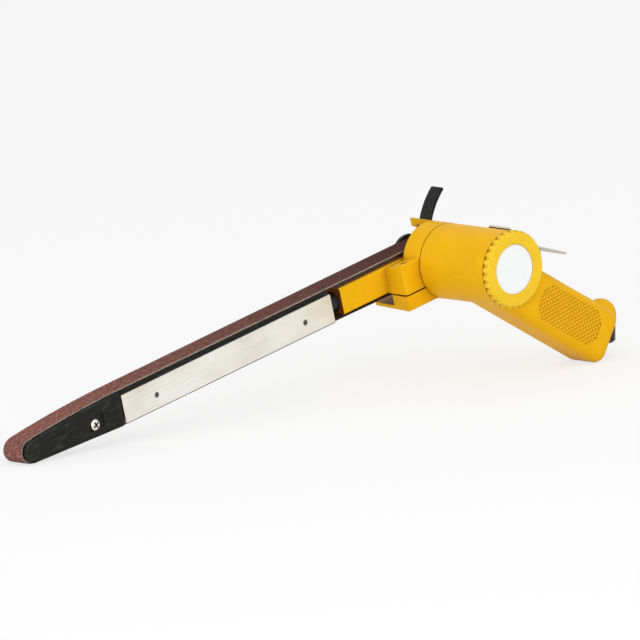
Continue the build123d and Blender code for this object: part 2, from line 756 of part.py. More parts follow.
# Sliding front arm: rod, spring and guide pin
rod = rod_between(rod_r, (rod_rear_x, 0, rod_z), (rod_front_x, 0, rod_z))
slot_low = guide_pin_x - guide_pin_r - guide_slot_clear
slot_high = guide_pin_x + travel + guide_pin_r + guide_slot_clear
slot_half = guide_pin_r + guide_slot_clear / 2
slot_depth_y = guide_slot_depth - rod_r
rod -= block((slot_low, slot_high), (-reach, slot_depth_y), (rod_z - slot_half, rod_z + slot_half))
nodes["tension_rod"] = rod
nodes["guide_pin"] = disc(guide_pin_r, -bar_half_width, slot_depth_y - guide_slot_clear, guide_pin_x, rod_z)
spring_ends = ((rod_bore_end_x + spring_end_gap, 0, rod_z), (rod_rear_x - spring_end_gap, 0, rod_z))
spring_r = rod_r - spring_side_gap
tension_spring = rod_between(spring_r, *spring_ends)
nodes["tension_spring"] = tension_spring - rod_between(spring_r - spring_wall, *spring_ends)


# Arm core, side plates and their screws
def screw_place(x, side):
    """Plane on the outer face of a side plate, looking out of it."""
    return Plane(origin=(x, side * plate_outer_y, plate_screw_z), x_dir=(1, 0, 0), z_dir=(0, side, 0))


def plate_screw(x, side, clear=0.0):
    """A flush screw in a side plate, or its hole when a clearance is given."""
    place = screw_place(x, side)
    head = extrude(Circle(plate_head_r + clear), plate_head + 2 * clear)
    shank = extrude(Circle(plate_screw_r + clear), plate_screw_length)
    return place.offset(-plate_head - clear) * head + place.offset(-plate_screw_length - clear) * shank


screw_places = [(x, side) for x in plate_screw_x for side in (-1, 1)]
screw_holes = [plate_screw(x, side, seat_clear) for x, side in screw_places]


def make_arm_core():
    """The sliding bar under the belt, with a rail that carries the top run and a tongue for the nose."""
    core_face = support_face & rect((arm_rear_x, arm_front_x), (core_bottom_z, plate_top_z))
    rail_face = support_face & rect((arm_rear_x, arm_front_x), (core_bottom_z, belt_drive_r))
    core = slab(core_face, -core_half_width, core_half_width)
    core += slab(rail_face, -rail_half_width, rail_half_width)
    tongue_x = (arm_front_x - tongue_half_width, arm_front_x + tongue_length)
    tongue_z = (nose_screw_z - tongue_half_height, nose_screw_z + tongue_half_height)
    core += block(tongue_x, (-tongue_half_width, tongue_half_width), tongue_z)
    rod_seat_end = (rod_front_x + tongue_end_gap, 0, rod_z)
    core -= rod_between(rod_r + seat_clear, (arm_rear_x - over_run, 0, rod_z), rod_seat_end)
    core -= disc(nose_screw_r + seat_clear, -tongue_half_width, reach, nose_screw_x, nose_screw_z)
    return core - screw_holes


def make_side_plate(side):
    """A polished plate on one side of the core."""
    inner, outer = sorted((side * plate_inner_y, side * plate_outer_y))
    plate = block((arm_rear_x, arm_front_x), (inner, outer), (plate_bottom_z, plate_top_z))
    return plate - screw_holes


nodes["arm_core"] = make_arm_core()
nodes["near_side_plate"] = make_side_plate(1)
nodes["far_side_plate"] = make_side_plate(-1)
nodes["plate_screws"] = Compound(children=[plate_screw(x, side) for x, side in screw_places])


# Nose fork, its screw and the idler
nose_rear_x = arm_front_x + nose_gap


def cheek_face():
    """Side view of a cheek: crowned top, round end and straight bottom."""
    end_x = centre_distance - nose_end_back
    face = support_face & rect((nose_rear_x, end_x), (plate_screw_z, belt_drive_r))
    face += make_face(Polyline(
        (nose_rear_x, 0), (nose_rear_x, nose_bottom_z), (end_x, -nose_end_drop - nose_end_r),
        (end_x, 0), (nose_rear_x, 0),
    ))
    return face + Pos(end_x, -nose_end_drop) * Circle(nose_end_r)


def nose_facet():
    """The wedge cut off a cheek's upper edge, wide at the rear and running out towards the nose."""
    start = Vector(nose_facet_start[0], nose_half_width, nose_facet_start[1])
    end = Vector(nose_facet_end[0], nose_half_width, nose_facet_end[1])
    line = (end - start).normalized()
    plane = Plane(origin=start - line, x_dir=(0, 1, 0), z_dir=line)
    rise = -1 if plane.y_dir.Z < 0 else 1
    top = (-2 * nose_facet_depth, 2 * rise * belt_drive_r)
    wedge = make_face(Polyline((0, 0), top, (belt_drive_r, 0), (0, 0)))
    return extrude(plane * wedge, (end - start).length)


def make_nose_block():
    """The fork that carries the idler: bevelled cheeks, the screw's recess and a slot in the near cheek."""
    cheek_inner = nose_half_width - nose_cheek
    core_face = support_face & rect((nose_rear_x, nose_core_x), across)
    bevel_x, bevel_y = nose_rear_bevel
    bevel = make_face(Polyline(
        (nose_rear_x, nose_half_width - bevel_y), (nose_rear_x + bevel_x, nose_half_width),
        (nose_rear_x, nose_half_width), (nose_rear_x, nose_half_width - bevel_y),
    ))
    cheek = slab(cheek_face(), cheek_inner, nose_half_width) - nose_facet()
    cheek -= extrude(Plane.XY.offset(-reach) * bevel, 2 * reach)
    nose = cheek + mirror(cheek, Plane.XZ)
    nose += slab(core_face, -cheek_inner, cheek_inner)
    tongue_room = tongue_half_height + tongue_clear
    pocket_x = (nose_rear_x - tongue_end_gap, arm_front_x + tongue_length + tongue_end_gap)
    pocket_y = (-tongue_half_width - tongue_clear, tongue_half_width + tongue_clear)
    nose -= block(pocket_x, pocket_y, (nose_screw_z - tongue_room, nose_screw_z + tongue_room))
    recess_x = (nose_screw_x - nose_recess_rear, nose_screw_x + nose_recess_front)
    recess_z = (nose_screw_z - nose_recess_down, nose_screw_z + nose_recess_up)
    nose -= block(recess_x, (nose_half_width - nose_recess, reach), recess_z)
    nose -= block(nose_slot_x, (nose_half_width - nose_slot_depth, reach), nose_slot_z)
    nose -= disc(nose_pit_r, nose_half_width - nose_slot_depth, reach, *nose_pit)
    nose -= disc(nose_screw_r + seat_clear, tongue_half_width, reach, nose_screw_x, nose_screw_z)
    nose -= disc(axle_r + seat_clear, -reach, reach, centre_distance, 0)
    nose -= disc(axle_head_r + seat_clear, nose_half_width - axle_head, reach, centre_distance, 0)
    return nose


nodes["nose_block"] = make_nose_block()
seat_y = nose_half_width - nose_recess
nose_screw = disc(nose_screw_r, -tongue_half_width, seat_y, nose_screw_x, nose_screw_z)
nose_cap = disc(nose_head_r, seat_y, seat_y + nose_head, nose_screw_x, nose_screw_z)
nose_cap = chamfer(nose_cap.edges().sort_by(Axis.Y)[-1], nose_head_bevel)
nodes["nose_screw"] = nose_screw + nose_cap
axle = disc(axle_r, -nose_half_width, nose_half_width - axle_head, centre_distance, 0)
axle += disc(axle_head_r, nose_half_width - axle_head, nose_half_width, centre_distance, 0)
axle_cut = rect((-axle_head_r, axle_head_r), (-axle_slot / 2, axle_slot / 2))
axle_cut = Pos(centre_distance, 0) * Rot(0, 0, axle_slot_turn) * axle_cut
nodes["idler_axle"] = axle - slab(axle_cut, nose_half_width - axle_head / 2, nose_half_width + over_run)
bush_r = axle_r + fit_clear + idler_bush_wall
idler_half = idler_width / 2
idler_face = Circle(idler_r) - Circle(bush_r + seat_clear)
nodes["idler_roller"] = slab(Pos(centre_distance, 0) * idler_face, -idler_half, idler_half)
bush_face = Circle(bush_r) - Circle(axle_r + fit_clear)
nodes["idler_bush"] = slab(Pos(centre_distance, 0) * bush_face, -idler_half, idler_half)

# Abrasive belt
belt_face = offset(inner_face, belt_thickness) - inner_face
nodes["sanding_belt"] = slab(belt_face, belt_far_y, -belt_far_y)
belt_length = offset(inner_face, belt_thickness / 2).edges()
print(f"belt loop {sum(edge.length for edge in belt_length):.1f} mm")

# Resting pose: the belt at the nose and the round heel of the handle both touch the ground
heel_middle = at_handle(handle_length - heel_r, heel_r - handle_front, handle_mid_y)
nose_out_r = belt_idler_r + belt_thickness
run = centre_distance - heel_middle.X
fall = -heel_middle.Z
rest_tilt = degrees(atan2(fall, run) - asin((nose_out_r - heel_r) / hypot(run, fall)))
turned = {name: Rot(0, rest_tilt, 0) * shape for name, shape in nodes.items()}
boxes = [shape.bounding_box() for shape in turned.values()]
middle_x = (min(box.min.X for box in boxes) + max(box.max.X for box in boxes)) / 2
middle_y = (min(box.min.Y for box in boxes) + max(box.max.Y for box in boxes)) / 2
shift = Pos(-middle_x, -middle_y, -min(box.min.Z for box in boxes))
print(f"rest tilt {rest_tilt:.6f} deg, shift {tuple(round(v, 6) for v in shift.position)}")

os.makedirs("parts", exist_ok=True)
for name, shape in turned.items():
    export_step(shift * shape, f"parts/{name}.step")
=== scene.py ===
"""Looks of an air-driven belt file sander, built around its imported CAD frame."""

import json
import logging
import math
from dataclasses import dataclass, replace
from enum import Enum
from functools import cache

import bmesh
import bpy
from mathutils import Matrix, Vector


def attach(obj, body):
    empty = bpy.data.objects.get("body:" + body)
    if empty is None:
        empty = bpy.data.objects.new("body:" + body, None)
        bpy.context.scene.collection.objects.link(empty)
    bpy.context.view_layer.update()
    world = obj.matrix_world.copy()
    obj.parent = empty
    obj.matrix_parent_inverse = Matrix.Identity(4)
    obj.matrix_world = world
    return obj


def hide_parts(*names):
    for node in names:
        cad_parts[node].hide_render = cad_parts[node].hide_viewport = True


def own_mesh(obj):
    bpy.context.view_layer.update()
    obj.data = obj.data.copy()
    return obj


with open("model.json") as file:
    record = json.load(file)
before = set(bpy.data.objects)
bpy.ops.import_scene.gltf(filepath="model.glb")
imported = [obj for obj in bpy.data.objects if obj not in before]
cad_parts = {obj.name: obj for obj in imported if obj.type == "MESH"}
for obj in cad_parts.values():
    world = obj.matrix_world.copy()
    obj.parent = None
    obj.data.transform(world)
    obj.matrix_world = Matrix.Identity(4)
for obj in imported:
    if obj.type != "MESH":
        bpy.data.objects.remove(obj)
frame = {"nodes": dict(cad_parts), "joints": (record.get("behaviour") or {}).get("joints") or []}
log = logging.getLogger("belt_sander")

Colour = tuple[float, float, float]
Span = tuple[float, float]
MM = 0.001

# A Mix node's two colour inputs and its colour output, by index
MIX_COLOURS = (6, 7)
MIX_RESULT = 2

# Samples of the rounded edges and of the painted shade in corners, and the parts of their ranges over which
# they grow
EDGE_SAMPLES = 6
EDGE_TURN = (0.03, 0.25)
CORNER_SHADE_SPAN = (0.10, 0.75)
MOTTLE_SPAN = (0.25, 0.75)

# Width over which a painted line fades, in millimetres
SOFT_LINE = 0.2


class Side(Enum):
    """The two sides of the tool along the motor axis."""

    NEAR = 1
    FAR = -1


class BeltFace(Enum):
    """The three kinds of surface on the abrasive belt, in the order of its material slots."""

    GRIT = 0
    CLOTH = 1
    CUT_EDGE = 2


@dataclass(frozen=True)
class ToolFrame:
    """The frame that the tool is drawn in, as it lies in the row frame.

    Attributes:
        origin: where the motor axis crosses the middle of the belt.
        along: the way the arm points.
        across: the way the motor axis points, from the belt to the end cap.
        up: square to both.
    """

    origin: Vector
    along: Vector
    across: Vector
    up: Vector

    @classmethod
    def from_joints(cls) -> "ToolFrame":
        """Read the frame from the rotor's hinge and the arm's slide.

        Returns:
            The tool's frame in the row frame.
        """
        joints = {joint["name"]: joint for joint in frame["joints"]}
        along = Vector(joints["tension_slide"]["axis"]).normalized()
        across = Vector(joints["rotor_spin"]["axis"]).normalized()
        return cls(Vector(joints["rotor_spin"]["pos_m"]), along, across, along.cross(across))

    def at(self, x: float, y: float, z: float) -> Vector:
        """Give a place in the row frame.

        Args:
            x: millimetres along the arm.
            y: millimetres along the motor axis.
            z: millimetres up.

        Returns:
            The place in metres.
        """
        return self.origin + (self.along * x + self.across * y + self.up * z) * MM

    def local(self, place: Vector) -> Vector:
        """Give a row-frame place in the tool's millimetres."""
        offset = (place - self.origin) / MM
        return Vector((offset.dot(self.along), offset.dot(self.across), offset.dot(self.up)))

    def handle_matrix(self, slope: float, across: float) -> Matrix:
        """Give the matrix of a plane beside the handle.

        Args:
            slope: the handle's fall below the arm's line, in degrees.
            across: the plane's place along the motor axis, in millimetres.

        Returns:
            A matrix whose X runs down the handle, Y up from it and Z along the motor axis, in metres.
        """
        fall = math.radians(slope)
        down = -self.along * math.cos(fall) - self.up * math.sin(fall)
        rise = self.up * math.cos(fall) - self.along * math.sin(fall)
        turn = Matrix((down, rise, self.across)).transposed().to_4x4()
        return Matrix.Translation(self.at(0, across, 0)) @ turn


TOOL = ToolFrame.from_joints()


class Socket:
    """One output of a node tree. Operators on it add Math nodes."""

    def __init__(self, graph: "Graph", output: bpy.types.NodeSocket) -> None:
        """Keep the tree and the output that this stands for."""
        self.graph = graph
        self.output = output

    def _math(self, operation: str, first: "Socket | float", second: "Socket | float" = 0.0) -> "Socket":
        """Add one Math node and give its value."""
        return self.graph.node("ShaderNodeMath", {"operation": operation}, {0: first, 1: second})

    def __add__(self, other: "Socket | float") -> "Socket":
        """Add."""
        return self._math("ADD", self, other)

    __radd__ = __add__

    def __sub__(self, other: "Socket | float") -> "Socket":
        """Subtract."""
        return self._math("SUBTRACT", self, other)

    def __rsub__(self, other: float) -> "Socket":
        """Subtract from a number."""
        return self._math("SUBTRACT", other, self)

    def __mul__(self, other: "Socket | float") -> "Socket":
        """Multiply."""
        return self._math("MULTIPLY", self, other)

    __rmul__ = __mul__

    def __lt__(self, other: "Socket | float") -> "Socket":
        """One where this is the smaller, else nought."""
        return self._math("LESS_THAN", self, other)

    def __gt__(self, other: "Socket | float") -> "Socket":
        """One where this is the larger, else nought."""
        return self._math("GREATER_THAN", self, other)

    def __abs__(self) -> "Socket":
        """Drop the sign."""
        return self._math("ABSOLUTE", self)

    def at_least(self, low: float) -> "Socket":
        """Raise to a lowest value."""
        return self._math("MAXIMUM", self, low)

    def at_most(self, high: float) -> "Socket":
        """Lower to a highest value."""
        return self._math("MINIMUM", self, high)

    def root(self) -> "Socket":
        """Take the square root."""
        return self._math("SQRT", self)

    def ramp(self, low: float, high: float) -> "Socket":
        """Stretch the part between two values to the range from nought to one."""
        limits = {"Value": self, "From Min": low, "From Max": high}
        return self.graph.node("ShaderNodeMapRange", {"clamp": True}, limits)


class Graph:
    """A node tree that is written in expressions."""

    def __init__(self, tree: bpy.types.NodeTree) -> None:
        """Keep the tree."""
        self.tree = tree

    def add(self, kind: str, settings: dict, inputs: dict) -> bpy.types.Node:
        """Add a node, set it up and then fill its inputs.

        Args:
            kind: the node's type.
            settings: attributes that are set first.
            inputs: values or sockets, by the input's index or name.

        Returns:
            The node.
        """
        node = self.tree.nodes.new(kind)
        for name, value in settings.items():
            setattr(node, name, value)
        for key, value in inputs.items():
            if isinstance(value, Socket):
                self.tree.links.new(value.output, node.inputs[key])
            else:
                node.inputs[key].default_value = value
        return node

    def node(self, kind: str, settings: dict, inputs: dict, output: int | str = 0) -> Socket:
        """Add a node and give one of its outputs.

        Args:
            kind: the node's type.
            settings: attributes that are set first.
            inputs: values or sockets, by the input's index or name.
            output: the output's index or name.

        Returns:
            The output.
        """
        return Socket(self, self.add(kind, settings, inputs).outputs[output])

    def blend_colours(self, factor: Socket, first: "Socket | Colour", second: "Socket | Colour") -> Socket:
        """Mix two colours by a value.

        Args:
            factor: nought for the first colour, one for the second.
            first: linear red, green and blue, or a socket.
            second: linear red, green and blue, or a socket.

        Returns:
            The mixed colour.
        """
        inputs = {0: factor}
        for key, colour in zip(MIX_COLOURS, (first, second)):
            inputs[key] = colour if isinstance(colour, Socket) else (*colour, 1.0)
        return self.node("ShaderNodeMix", {"data_type": "RGBA"}, inputs, MIX_RESULT)


@dataclass(frozen=True)
class Finish:
    """A surface finish: a colour with a mottle that its roughness and relief follow.

    Attributes:
        name: the material's name.
        colour: base colour, linear.
        roughness: how dull it is.
        metallic: one for uncoated metal.
        gloss: strength of the plain reflection.
        mottle: share by which colour and roughness vary.
        grain: sizes of the pattern along the arm, across it and up, in millimetres.
        relief: depth of the pattern, in millimetres.
        edge_round: radius that sharp edges catch the light with, in millimetres.
        wear_and_highlight: colour of the paler edges, partly from scuffing and partly a painted highlight, if
            they are paler.
        painted_shade: colour of the painted shade that darkens corners and seams, if they are darkened.
        shade_reach: how far out of a corner or seam the painted shade reaches, in millimetres.
        sheen: tint of the plain reflection.
    """

    name: str
    colour: Colour
    roughness: float
    metallic: float = 0.0
    gloss: float = 0.4
    mottle: float = 0.05
    grain: tuple[float, float, float] = (6.0, 6.0, 6.0)
    relief: float = 0.01
    edge_round: float = 0.15
    wear_and_highlight: Colour | None = None
    painted_shade: Colour | None = None
    shade_reach: float = 1.5
    sheen: Colour = (1.0, 1.0, 1.0)

    def place(self, graph: Graph, sizes: tuple[float, float, float]) -> Socket:
        """Give coordinates that are turned to the arm and scaled to a pattern's size.

        Args:
            graph: the material's tree.
            sizes: sizes of the pattern along the arm, across it and up, in millimetres.

        Returns:
            The coordinates.
        """
        plain = graph.node("ShaderNodeTexCoord", {}, {}, "Object")
        tilt = math.atan2(TOOL.along.z, TOOL.along.x)
        turned = graph.node("ShaderNodeMapping", {}, {"Vector": plain, "Rotation": (0.0, tilt, 0.0)})
        scale = tuple(1.0 / (size * MM) for size in sizes)
        return graph.node("ShaderNodeMapping", {}, {"Vector": turned, "Scale": scale})

    def reach(self, graph: Graph, axis: Vector) -> Socket:
        """Give how far a place lies from the tool's origin along an axis.

        Args:
            graph: the material's tree.
            axis: the axis, of length one.

        Returns:
            The distance in metres.
        """
        place = graph.node("ShaderNodeTexCoord", {}, {}, "Object")
        dot = {"operation": "DOT_PRODUCT"}
        return graph.node("ShaderNodeVectorMath", dot, {0: place, 1: axis}, "Value") - TOOL.origin.dot(axis)

    def noise(self, graph: Graph, sizes: tuple[float, float, float], detail: float = 3.0) -> Socket:
        """Give a noise between nought and one with features of the given sizes, in millimetres."""
        inputs = {"Vector": self.place(graph, sizes), "Scale": 1.0, "Detail": detail}
        return graph.node("ShaderNodeTexNoise", {}, inputs)

    def pattern(self, graph: Graph) -> Socket:
        """Make the mottle that colour, roughness and relief follow."""
        return self.noise(graph, self.grain).ramp(*MOTTLE_SPAN)

    def tint(self, graph: Graph, pattern: Socket) -> Socket:
        """Give the base colour over the surface.

        Args:
            graph: the material's tree.
            pattern: the finish's pattern.

        Returns:
            The colour.
        """
        low = tuple(value * (1 - self.mottle) for value in self.colour)
        high = tuple(min(1.0, value * (1 + self.mottle)) for value in self.colour)
        return graph.blend_colours(pattern, low, high)

    def height(self, graph: Graph, pattern: Socket) -> Socket:
        """Give the relief's height, from nought to one."""
        return pattern

    def retoned(self, graph: Graph, soft: Socket, pattern: Socket, colour: Socket) -> Socket:
        """Give the colour with its edges paler, partly from scuffing and partly a painted highlight.

        Args:
            graph: the material's tree.
            soft: the normal of the rounded edges.
            pattern: the mottle that breaks the paler edges up.
            colour: the colour away from the edges.

        Returns:
            The colour with its paler edges.
        """
        flat = graph.node("ShaderNodeNewGeometry", {}, {}, "Normal")
        match = graph.node("ShaderNodeVectorMath", {"operation": "DOT_PRODUCT"}, {0: soft, 1: flat}, "Value")
        # Paler edges: partly scuffing, partly a painted highlight where the edges catch the light.
        edge_wear_and_highlight = (1.0 - match).ramp(*EDGE_TURN) * pattern
        return graph.blend_colours(edge_wear_and_highlight, colour, self.wear_and_highlight)

    def shaded_in_corners(self, graph: Graph, colour: Socket) -> Socket:
        """Give the colour with a painted shade that darkens its corners and seams.

        Args:
            graph: the material's tree.
            colour: the colour without that shade.

        Returns:
            The colour with its painted shade.
        """
        # Painted shade: the colour darkens where ambient occlusion finds surfaces close by.
        inputs = {"Distance": self.shade_reach * MM}
        clear = graph.node("ShaderNodeAmbientOcclusion", {"samples": EDGE_SAMPLES}, inputs, "AO")
        return graph.blend_colours(clear.ramp(*CORNER_SHADE_SPAN), self.painted_shade, colour)

    @cache
    def material(self) -> bpy.types.Material:
        """Build the material.

        Returns:
            The material, made once for each finish.
        """
        made = bpy.data.materials.new(self.name)
        made.use_nodes = True
        made.diffuse_color = (*self.colour, 1.0)
        graph = Graph(made.node_tree)
        links = made.node_tree.links
        shader = made.node_tree.nodes["Principled BSDF"]
        pattern = self.pattern(graph)
        soft = graph.node("ShaderNodeBevel", {"samples": EDGE_SAMPLES}, {"Radius": self.edge_round * MM})
        colour = self.tint(graph, pattern)
        # Paler edges, partly scuffed and partly a painted highlight.
        if self.wear_and_highlight:
            colour = self.retoned(graph, soft, pattern, colour)
        # Painted shade in corners and seams.
        if self.painted_shade:
            colour = self.shaded_in_corners(graph, colour)
        links.new(colour.output, shader.inputs["Base Color"])
        dull = pattern * (2 * self.mottle * self.roughness) + self.roughness * (1 - self.mottle)
        links.new(dull.output, shader.inputs["Roughness"])
        shader.inputs["Metallic"].default_value = self.metallic
        shader.inputs["Specular IOR Level"].default_value = self.gloss
        shader.inputs["Specular Tint"].default_value = (*self.sheen, 1.0)
        bump = {"Distance": self.relief * MM, "Height": self.height(graph, pattern), "Normal": soft}
        links.new(graph.node("ShaderNodeBump", {}, bump).output, shader.inputs["Normal"])
        return made


@dataclass(frozen=True)
class PaintFinish(Finish):
    """Enamel on a casting: broad changes of tone, a fine orange peel and a few dull specks.

    Attributes:
        peel: size of the orange peel, in millimetres.
        speck: colour of the specks.
        speck_size: size of the specks, in millimetres.
        speck_span: part of the noise over which a speck grows.
        end: place along the arm beyond which the paint is darkened by a painted shade, in millimetres, if it
            is.
        end_shade: colour of that painted shade.
    """

    peel: float = 0.7
    speck: Colour = (0.56, 0.27, 0.006)
    speck_size: float = 1.1
    speck_span: Span = (0.70, 0.80)
    end: float | None = None
    end_shade: Colour = (0.030, 0.018, 0.010)

    def tint(self, graph: Graph, pattern: Socket) -> Socket:
        """Give the enamel's colour with its specks, and a painted shade on its end.

        Args:
            graph: the material's tree.
            pattern: the finish's pattern.

        Returns:
            The colour.
        """
        even = Finish.tint(self, graph, pattern)
        specks = self.noise(graph, (self.speck_size,) * 3, detail=1.0).ramp(*self.speck_span)
        enamel = graph.blend_colours(specks, even, self.speck)
        if self.end is None:
            return enamel
        # Painted shade on the bar's end face, beyond the end along the arm.
        in_end_shade = self.reach(graph, TOOL.along).ramp((self.end - SOFT_LINE) * MM, self.end * MM)
        return graph.blend_colours(in_end_shade, enamel, self.end_shade)

    def height(self, graph: Graph, pattern: Socket) -> Socket:
        """Give the orange peel."""
        return self.noise(graph, (self.peel,) * 3, detail=1.0)


@dataclass(frozen=True)
class JointFinish(PaintFinish):
    """Enamel with a painted shadow line along the joint with the piece behind it.

    Attributes:
        joint: the joint's place along the motor axis, in millimetres from the belt's middle.
        line: width of the line, in millimetres.
    """

    joint: float = 0.0
    line: float = 0.7

    def tint(self, graph: Graph, pattern: Socket) -> Socket:
        """Give the enamel's colour with the painted shadow line.

        Args:
            graph: the material's tree.
            pattern: the finish's pattern.

        Returns:
            The colour.
        """
        # Painted shadow of the gap at the joint, in the colour of the painted shade.
        unshadowed = PaintFinish.tint(self, graph, pattern)
        away = self.reach(graph, TOOL.across).ramp(self.joint * MM, (self.joint + self.line) * MM)
        return graph.blend_colours(away, self.painted_shade, unshadowed)


@dataclass(frozen=True)
class CastFinish(Finish):
    """Black cast plastic or rubber: a fine grain, paler in patches that are partly scuffing and partly a
    painted highlight.

    Attributes:
        patch_wear_and_highlight: colour of the paler patches.
        patch: sizes of the patches, in millimetres.
        patch_span: part of the noise over which a patch grows.
    """

    patch_wear_and_highlight: Colour = (0.040, 0.039, 0.036)
    patch: tuple[float, float, float] = (9.0, 3.0, 2.0)
    patch_span: Span = (0.52, 0.72)

    def tint(self, graph: Graph, pattern: Socket) -> Socket:
        """Give the colour with its paler patches, partly scuffed and partly a painted highlight."""
        wear_and_highlight = self.noise(graph, self.patch, detail=5.0).ramp(*self.patch_span) * pattern
        return graph.blend_colours(wear_and_highlight, self.colour, self.patch_wear_and_highlight)


@dataclass(frozen=True)
class BrushedFinish(Finish):
    """Bare metal brushed along the arm, with warm and cool bands.

    Attributes:
        warm: colour of the warm bands.
        band: sizes of the bands, in millimetres.
        band_span: part of the noise over which a band grows.
        mark_span: part of the brush pattern over which a mark fades.
        mark_share: strength of the darkest marks.
        hem: height up to which the lowest edge is darkened by a painted shadow, in millimetres, if it is.
        hem_shade: colour of that painted shadow.
    """

    warm: Colour = (0.84, 0.78, 0.63)
    band: tuple[float, float, float] = (26.0, 30.0, 14.0)
    band_span: Span = (0.35, 0.70)
    mark_span: Span = (0.9, 0.2)
    mark_share: float = 0.5
    hem: float | None = None
    hem_shade: Colour = (0.05, 0.05, 0.045)

    def tint(self, graph: Graph, pattern: Socket) -> Socket:
        """Give the banded colour with its brush marks, and a painted shadow along its lowest edge.

        Args:
            graph: the material's tree.
            pattern: the finish's pattern.

        Returns:
            The colour.
        """
        bands = self.noise(graph, self.band, detail=2.0).ramp(*self.band_span)
        metal = graph.blend_colours(bands, self.colour, self.warm)
        dark = tuple(value * (1 - 2 * self.mottle) for value in self.colour)
        marks = pattern.ramp(*self.mark_span) * self.mark_share
        brushed = graph.blend_colours(marks, metal, dark)
        if self.hem is None:
            return brushed
        # Painted shadow along the plate's lowest edge.
        above = self.reach(graph, TOOL.up).ramp(self.hem * MM, (self.hem + SOFT_LINE) * MM)
        return graph.blend_colours(above, self.hem_shade, brushed)


@dataclass(frozen=True)
class GritFinish(Finish):
    """Abrasive grain: close-set grains of several tones on a red-brown bond.

    Attributes:
        dark: colour between the grains.
        light: colour of the brightest grains.
        cluster: size of the paler and darker clusters, in millimetres.
        cluster_span: part of the noise over which a cluster grows.
        cluster_share: share of the clusters in a grain's tone.
        dark_span: tones between the dark and the base colour.
        light_span: tones between the base colour and the light one.
        motor_end_shade: colour of the painted shade on the grain towards the motor.
        motor_shade_share: share of that colour at the motor.
        motor_shade_reach: how far along the arm from the motor the painted shade reaches, in millimetres.
    """

    dark: Colour = (0.050, 0.018, 0.014)
    light: Colour = (0.52, 0.28, 0.22)
    cluster: float = 1.3
    cluster_span: Span = (0.3, 0.7)
    cluster_share: float = 0.45
    dark_span: Span = (0.0, 0.5)
    light_span: Span = (0.6, 1.0)
    motor_end_shade: Colour = (0.045, 0.015, 0.011)
    motor_shade_share: float = 0.90
    motor_shade_reach: float = 260.0

    def pattern(self, graph: Graph) -> Socket:
        """Give each grain a tone of its own, and clusters of grains a shared one.

        Args:
            graph: the material's tree.

        Returns:
            The tones, from nought to one.
        """
        spread = {"Vector": self.place(graph, self.grain), "Scale": 1.0}
        cells = graph.node("ShaderNodeTexVoronoi", {}, spread, "Color")
        tones = graph.node("ShaderNodeSeparateColor", {}, {"Color": cells}, "Red")
        clusters = self.noise(graph, (self.cluster,) * 3, detail=2.0).ramp(*self.cluster_span)
        return tones * (1.0 - self.cluster_share) + clusters * self.cluster_share

    def tint(self, graph: Graph, pattern: Socket) -> Socket:
        """Give the speckled base colour, darkened towards the motor by a painted shade.

        Args:
            graph: the material's tree.
            pattern: the finish's pattern.

        Returns:
            The colour.
        """
        lower = graph.blend_colours(pattern.ramp(*self.dark_span), self.dark, self.colour)
        speckled = graph.blend_colours(pattern.ramp(*self.light_span), lower, self.light)
        # Painted shade: the grain darkens towards the motor.
        retoned = self.reach(graph, TOOL.along).ramp(self.motor_shade_reach * MM, 0.0) * self.motor_shade_share
        return graph.blend_colours(retoned, speckled, self.motor_end_shade)


@dataclass(frozen=True)
class GrooveFinish(Finish):
    """Paint darkened by a painted shade towards the bottom of cut grooves on the two sides of the handle.

    Attributes:
        shade: colour of the painted shade at the bottom of the grooves.
        middle: the handle's middle along the motor axis, in millimetres from the belt's middle.
        bottom: distance of the groove bottoms from that middle, in millimetres.
        depth: depth of the grooves, in millimetres.
    """

    shade: Colour = (0.63, 0.33, 0.014)
    middle: float = 0.0
    bottom: float = 12.5
    depth: float = 0.5

    def tint(self, graph: Graph, pattern: Socket) -> Socket:
        """Give the base colour, darkened in the grooves by a painted shade."""
        above = abs(self.reach(graph, TOOL.across) - self.middle * MM) - self.bottom * MM
        return graph.blend_colours(above.ramp(0.0, self.depth * MM), self.shade, self.colour)


# The motor's enamel: a painted shade in corners and seams, and paler edges partly scuffed and partly a
# painted highlight.
YELLOW_PAINT = PaintFinish(
    "yellow_enamel", (0.81, 0.43, 0.006), 0.46, gloss=0.08, mottle=0.05, grain=(18, 18, 18), relief=0.05,
    edge_round=0.5, wear_and_highlight=(0.90, 0.52, 0.03), sheen=(1.0, 0.80, 0.30), painted_shade=(0.20, 0.050, 0.003),
)
# The arm's enamel: a painted shade reaching far out of its corners, and a painted shade on the bar's end
# face.
ARM_PAINT = replace(YELLOW_PAINT, name="arm_enamel", shade_reach=14.0, end=62.3)
# The cap's enamel: a painted shadow line at its joint with the barrel, a painted shade in its notches and
# recess, and paler edges partly scuffed and partly a painted highlight.
CAP_PAINT = JointFinish(
    "cap_enamel", (0.82, 0.53, 0.026), 0.42, gloss=0.10, mottle=0.05, grain=(9, 9, 9), relief=0.04,
    edge_round=0.3, wear_and_highlight=(0.90, 0.64, 0.10), sheen=(1.0, 0.85, 0.45), painted_shade=(0.20, 0.050, 0.003),
    shade_reach=2.5, joint=66.9,
)
# The white disc: a painted shade where it meets the wall of its recess.
BADGE_WHITE = Finish(
    "white_disc", (0.84, 0.86, 0.87), 0.22, mottle=0.02, grain=(4, 4, 4), painted_shade=(0.34, 0.30, 0.22)
)
# Black casting: a painted shade in its recesses, and paler edges and patches, partly scuffed and partly a
# painted highlight.
BLACK_CAST = CastFinish(
    "black_casting", (0.017, 0.017, 0.0165), 0.5, gloss=0.05, mottle=0.2, grain=(0.8, 0.8, 0.8), relief=0.05,
    edge_round=0.5, wear_and_highlight=(0.17, 0.167, 0.150), painted_shade=(0.001, 0.001, 0.001), shade_reach=0.9,
    patch_wear_and_highlight=(0.065, 0.063, 0.056),
)
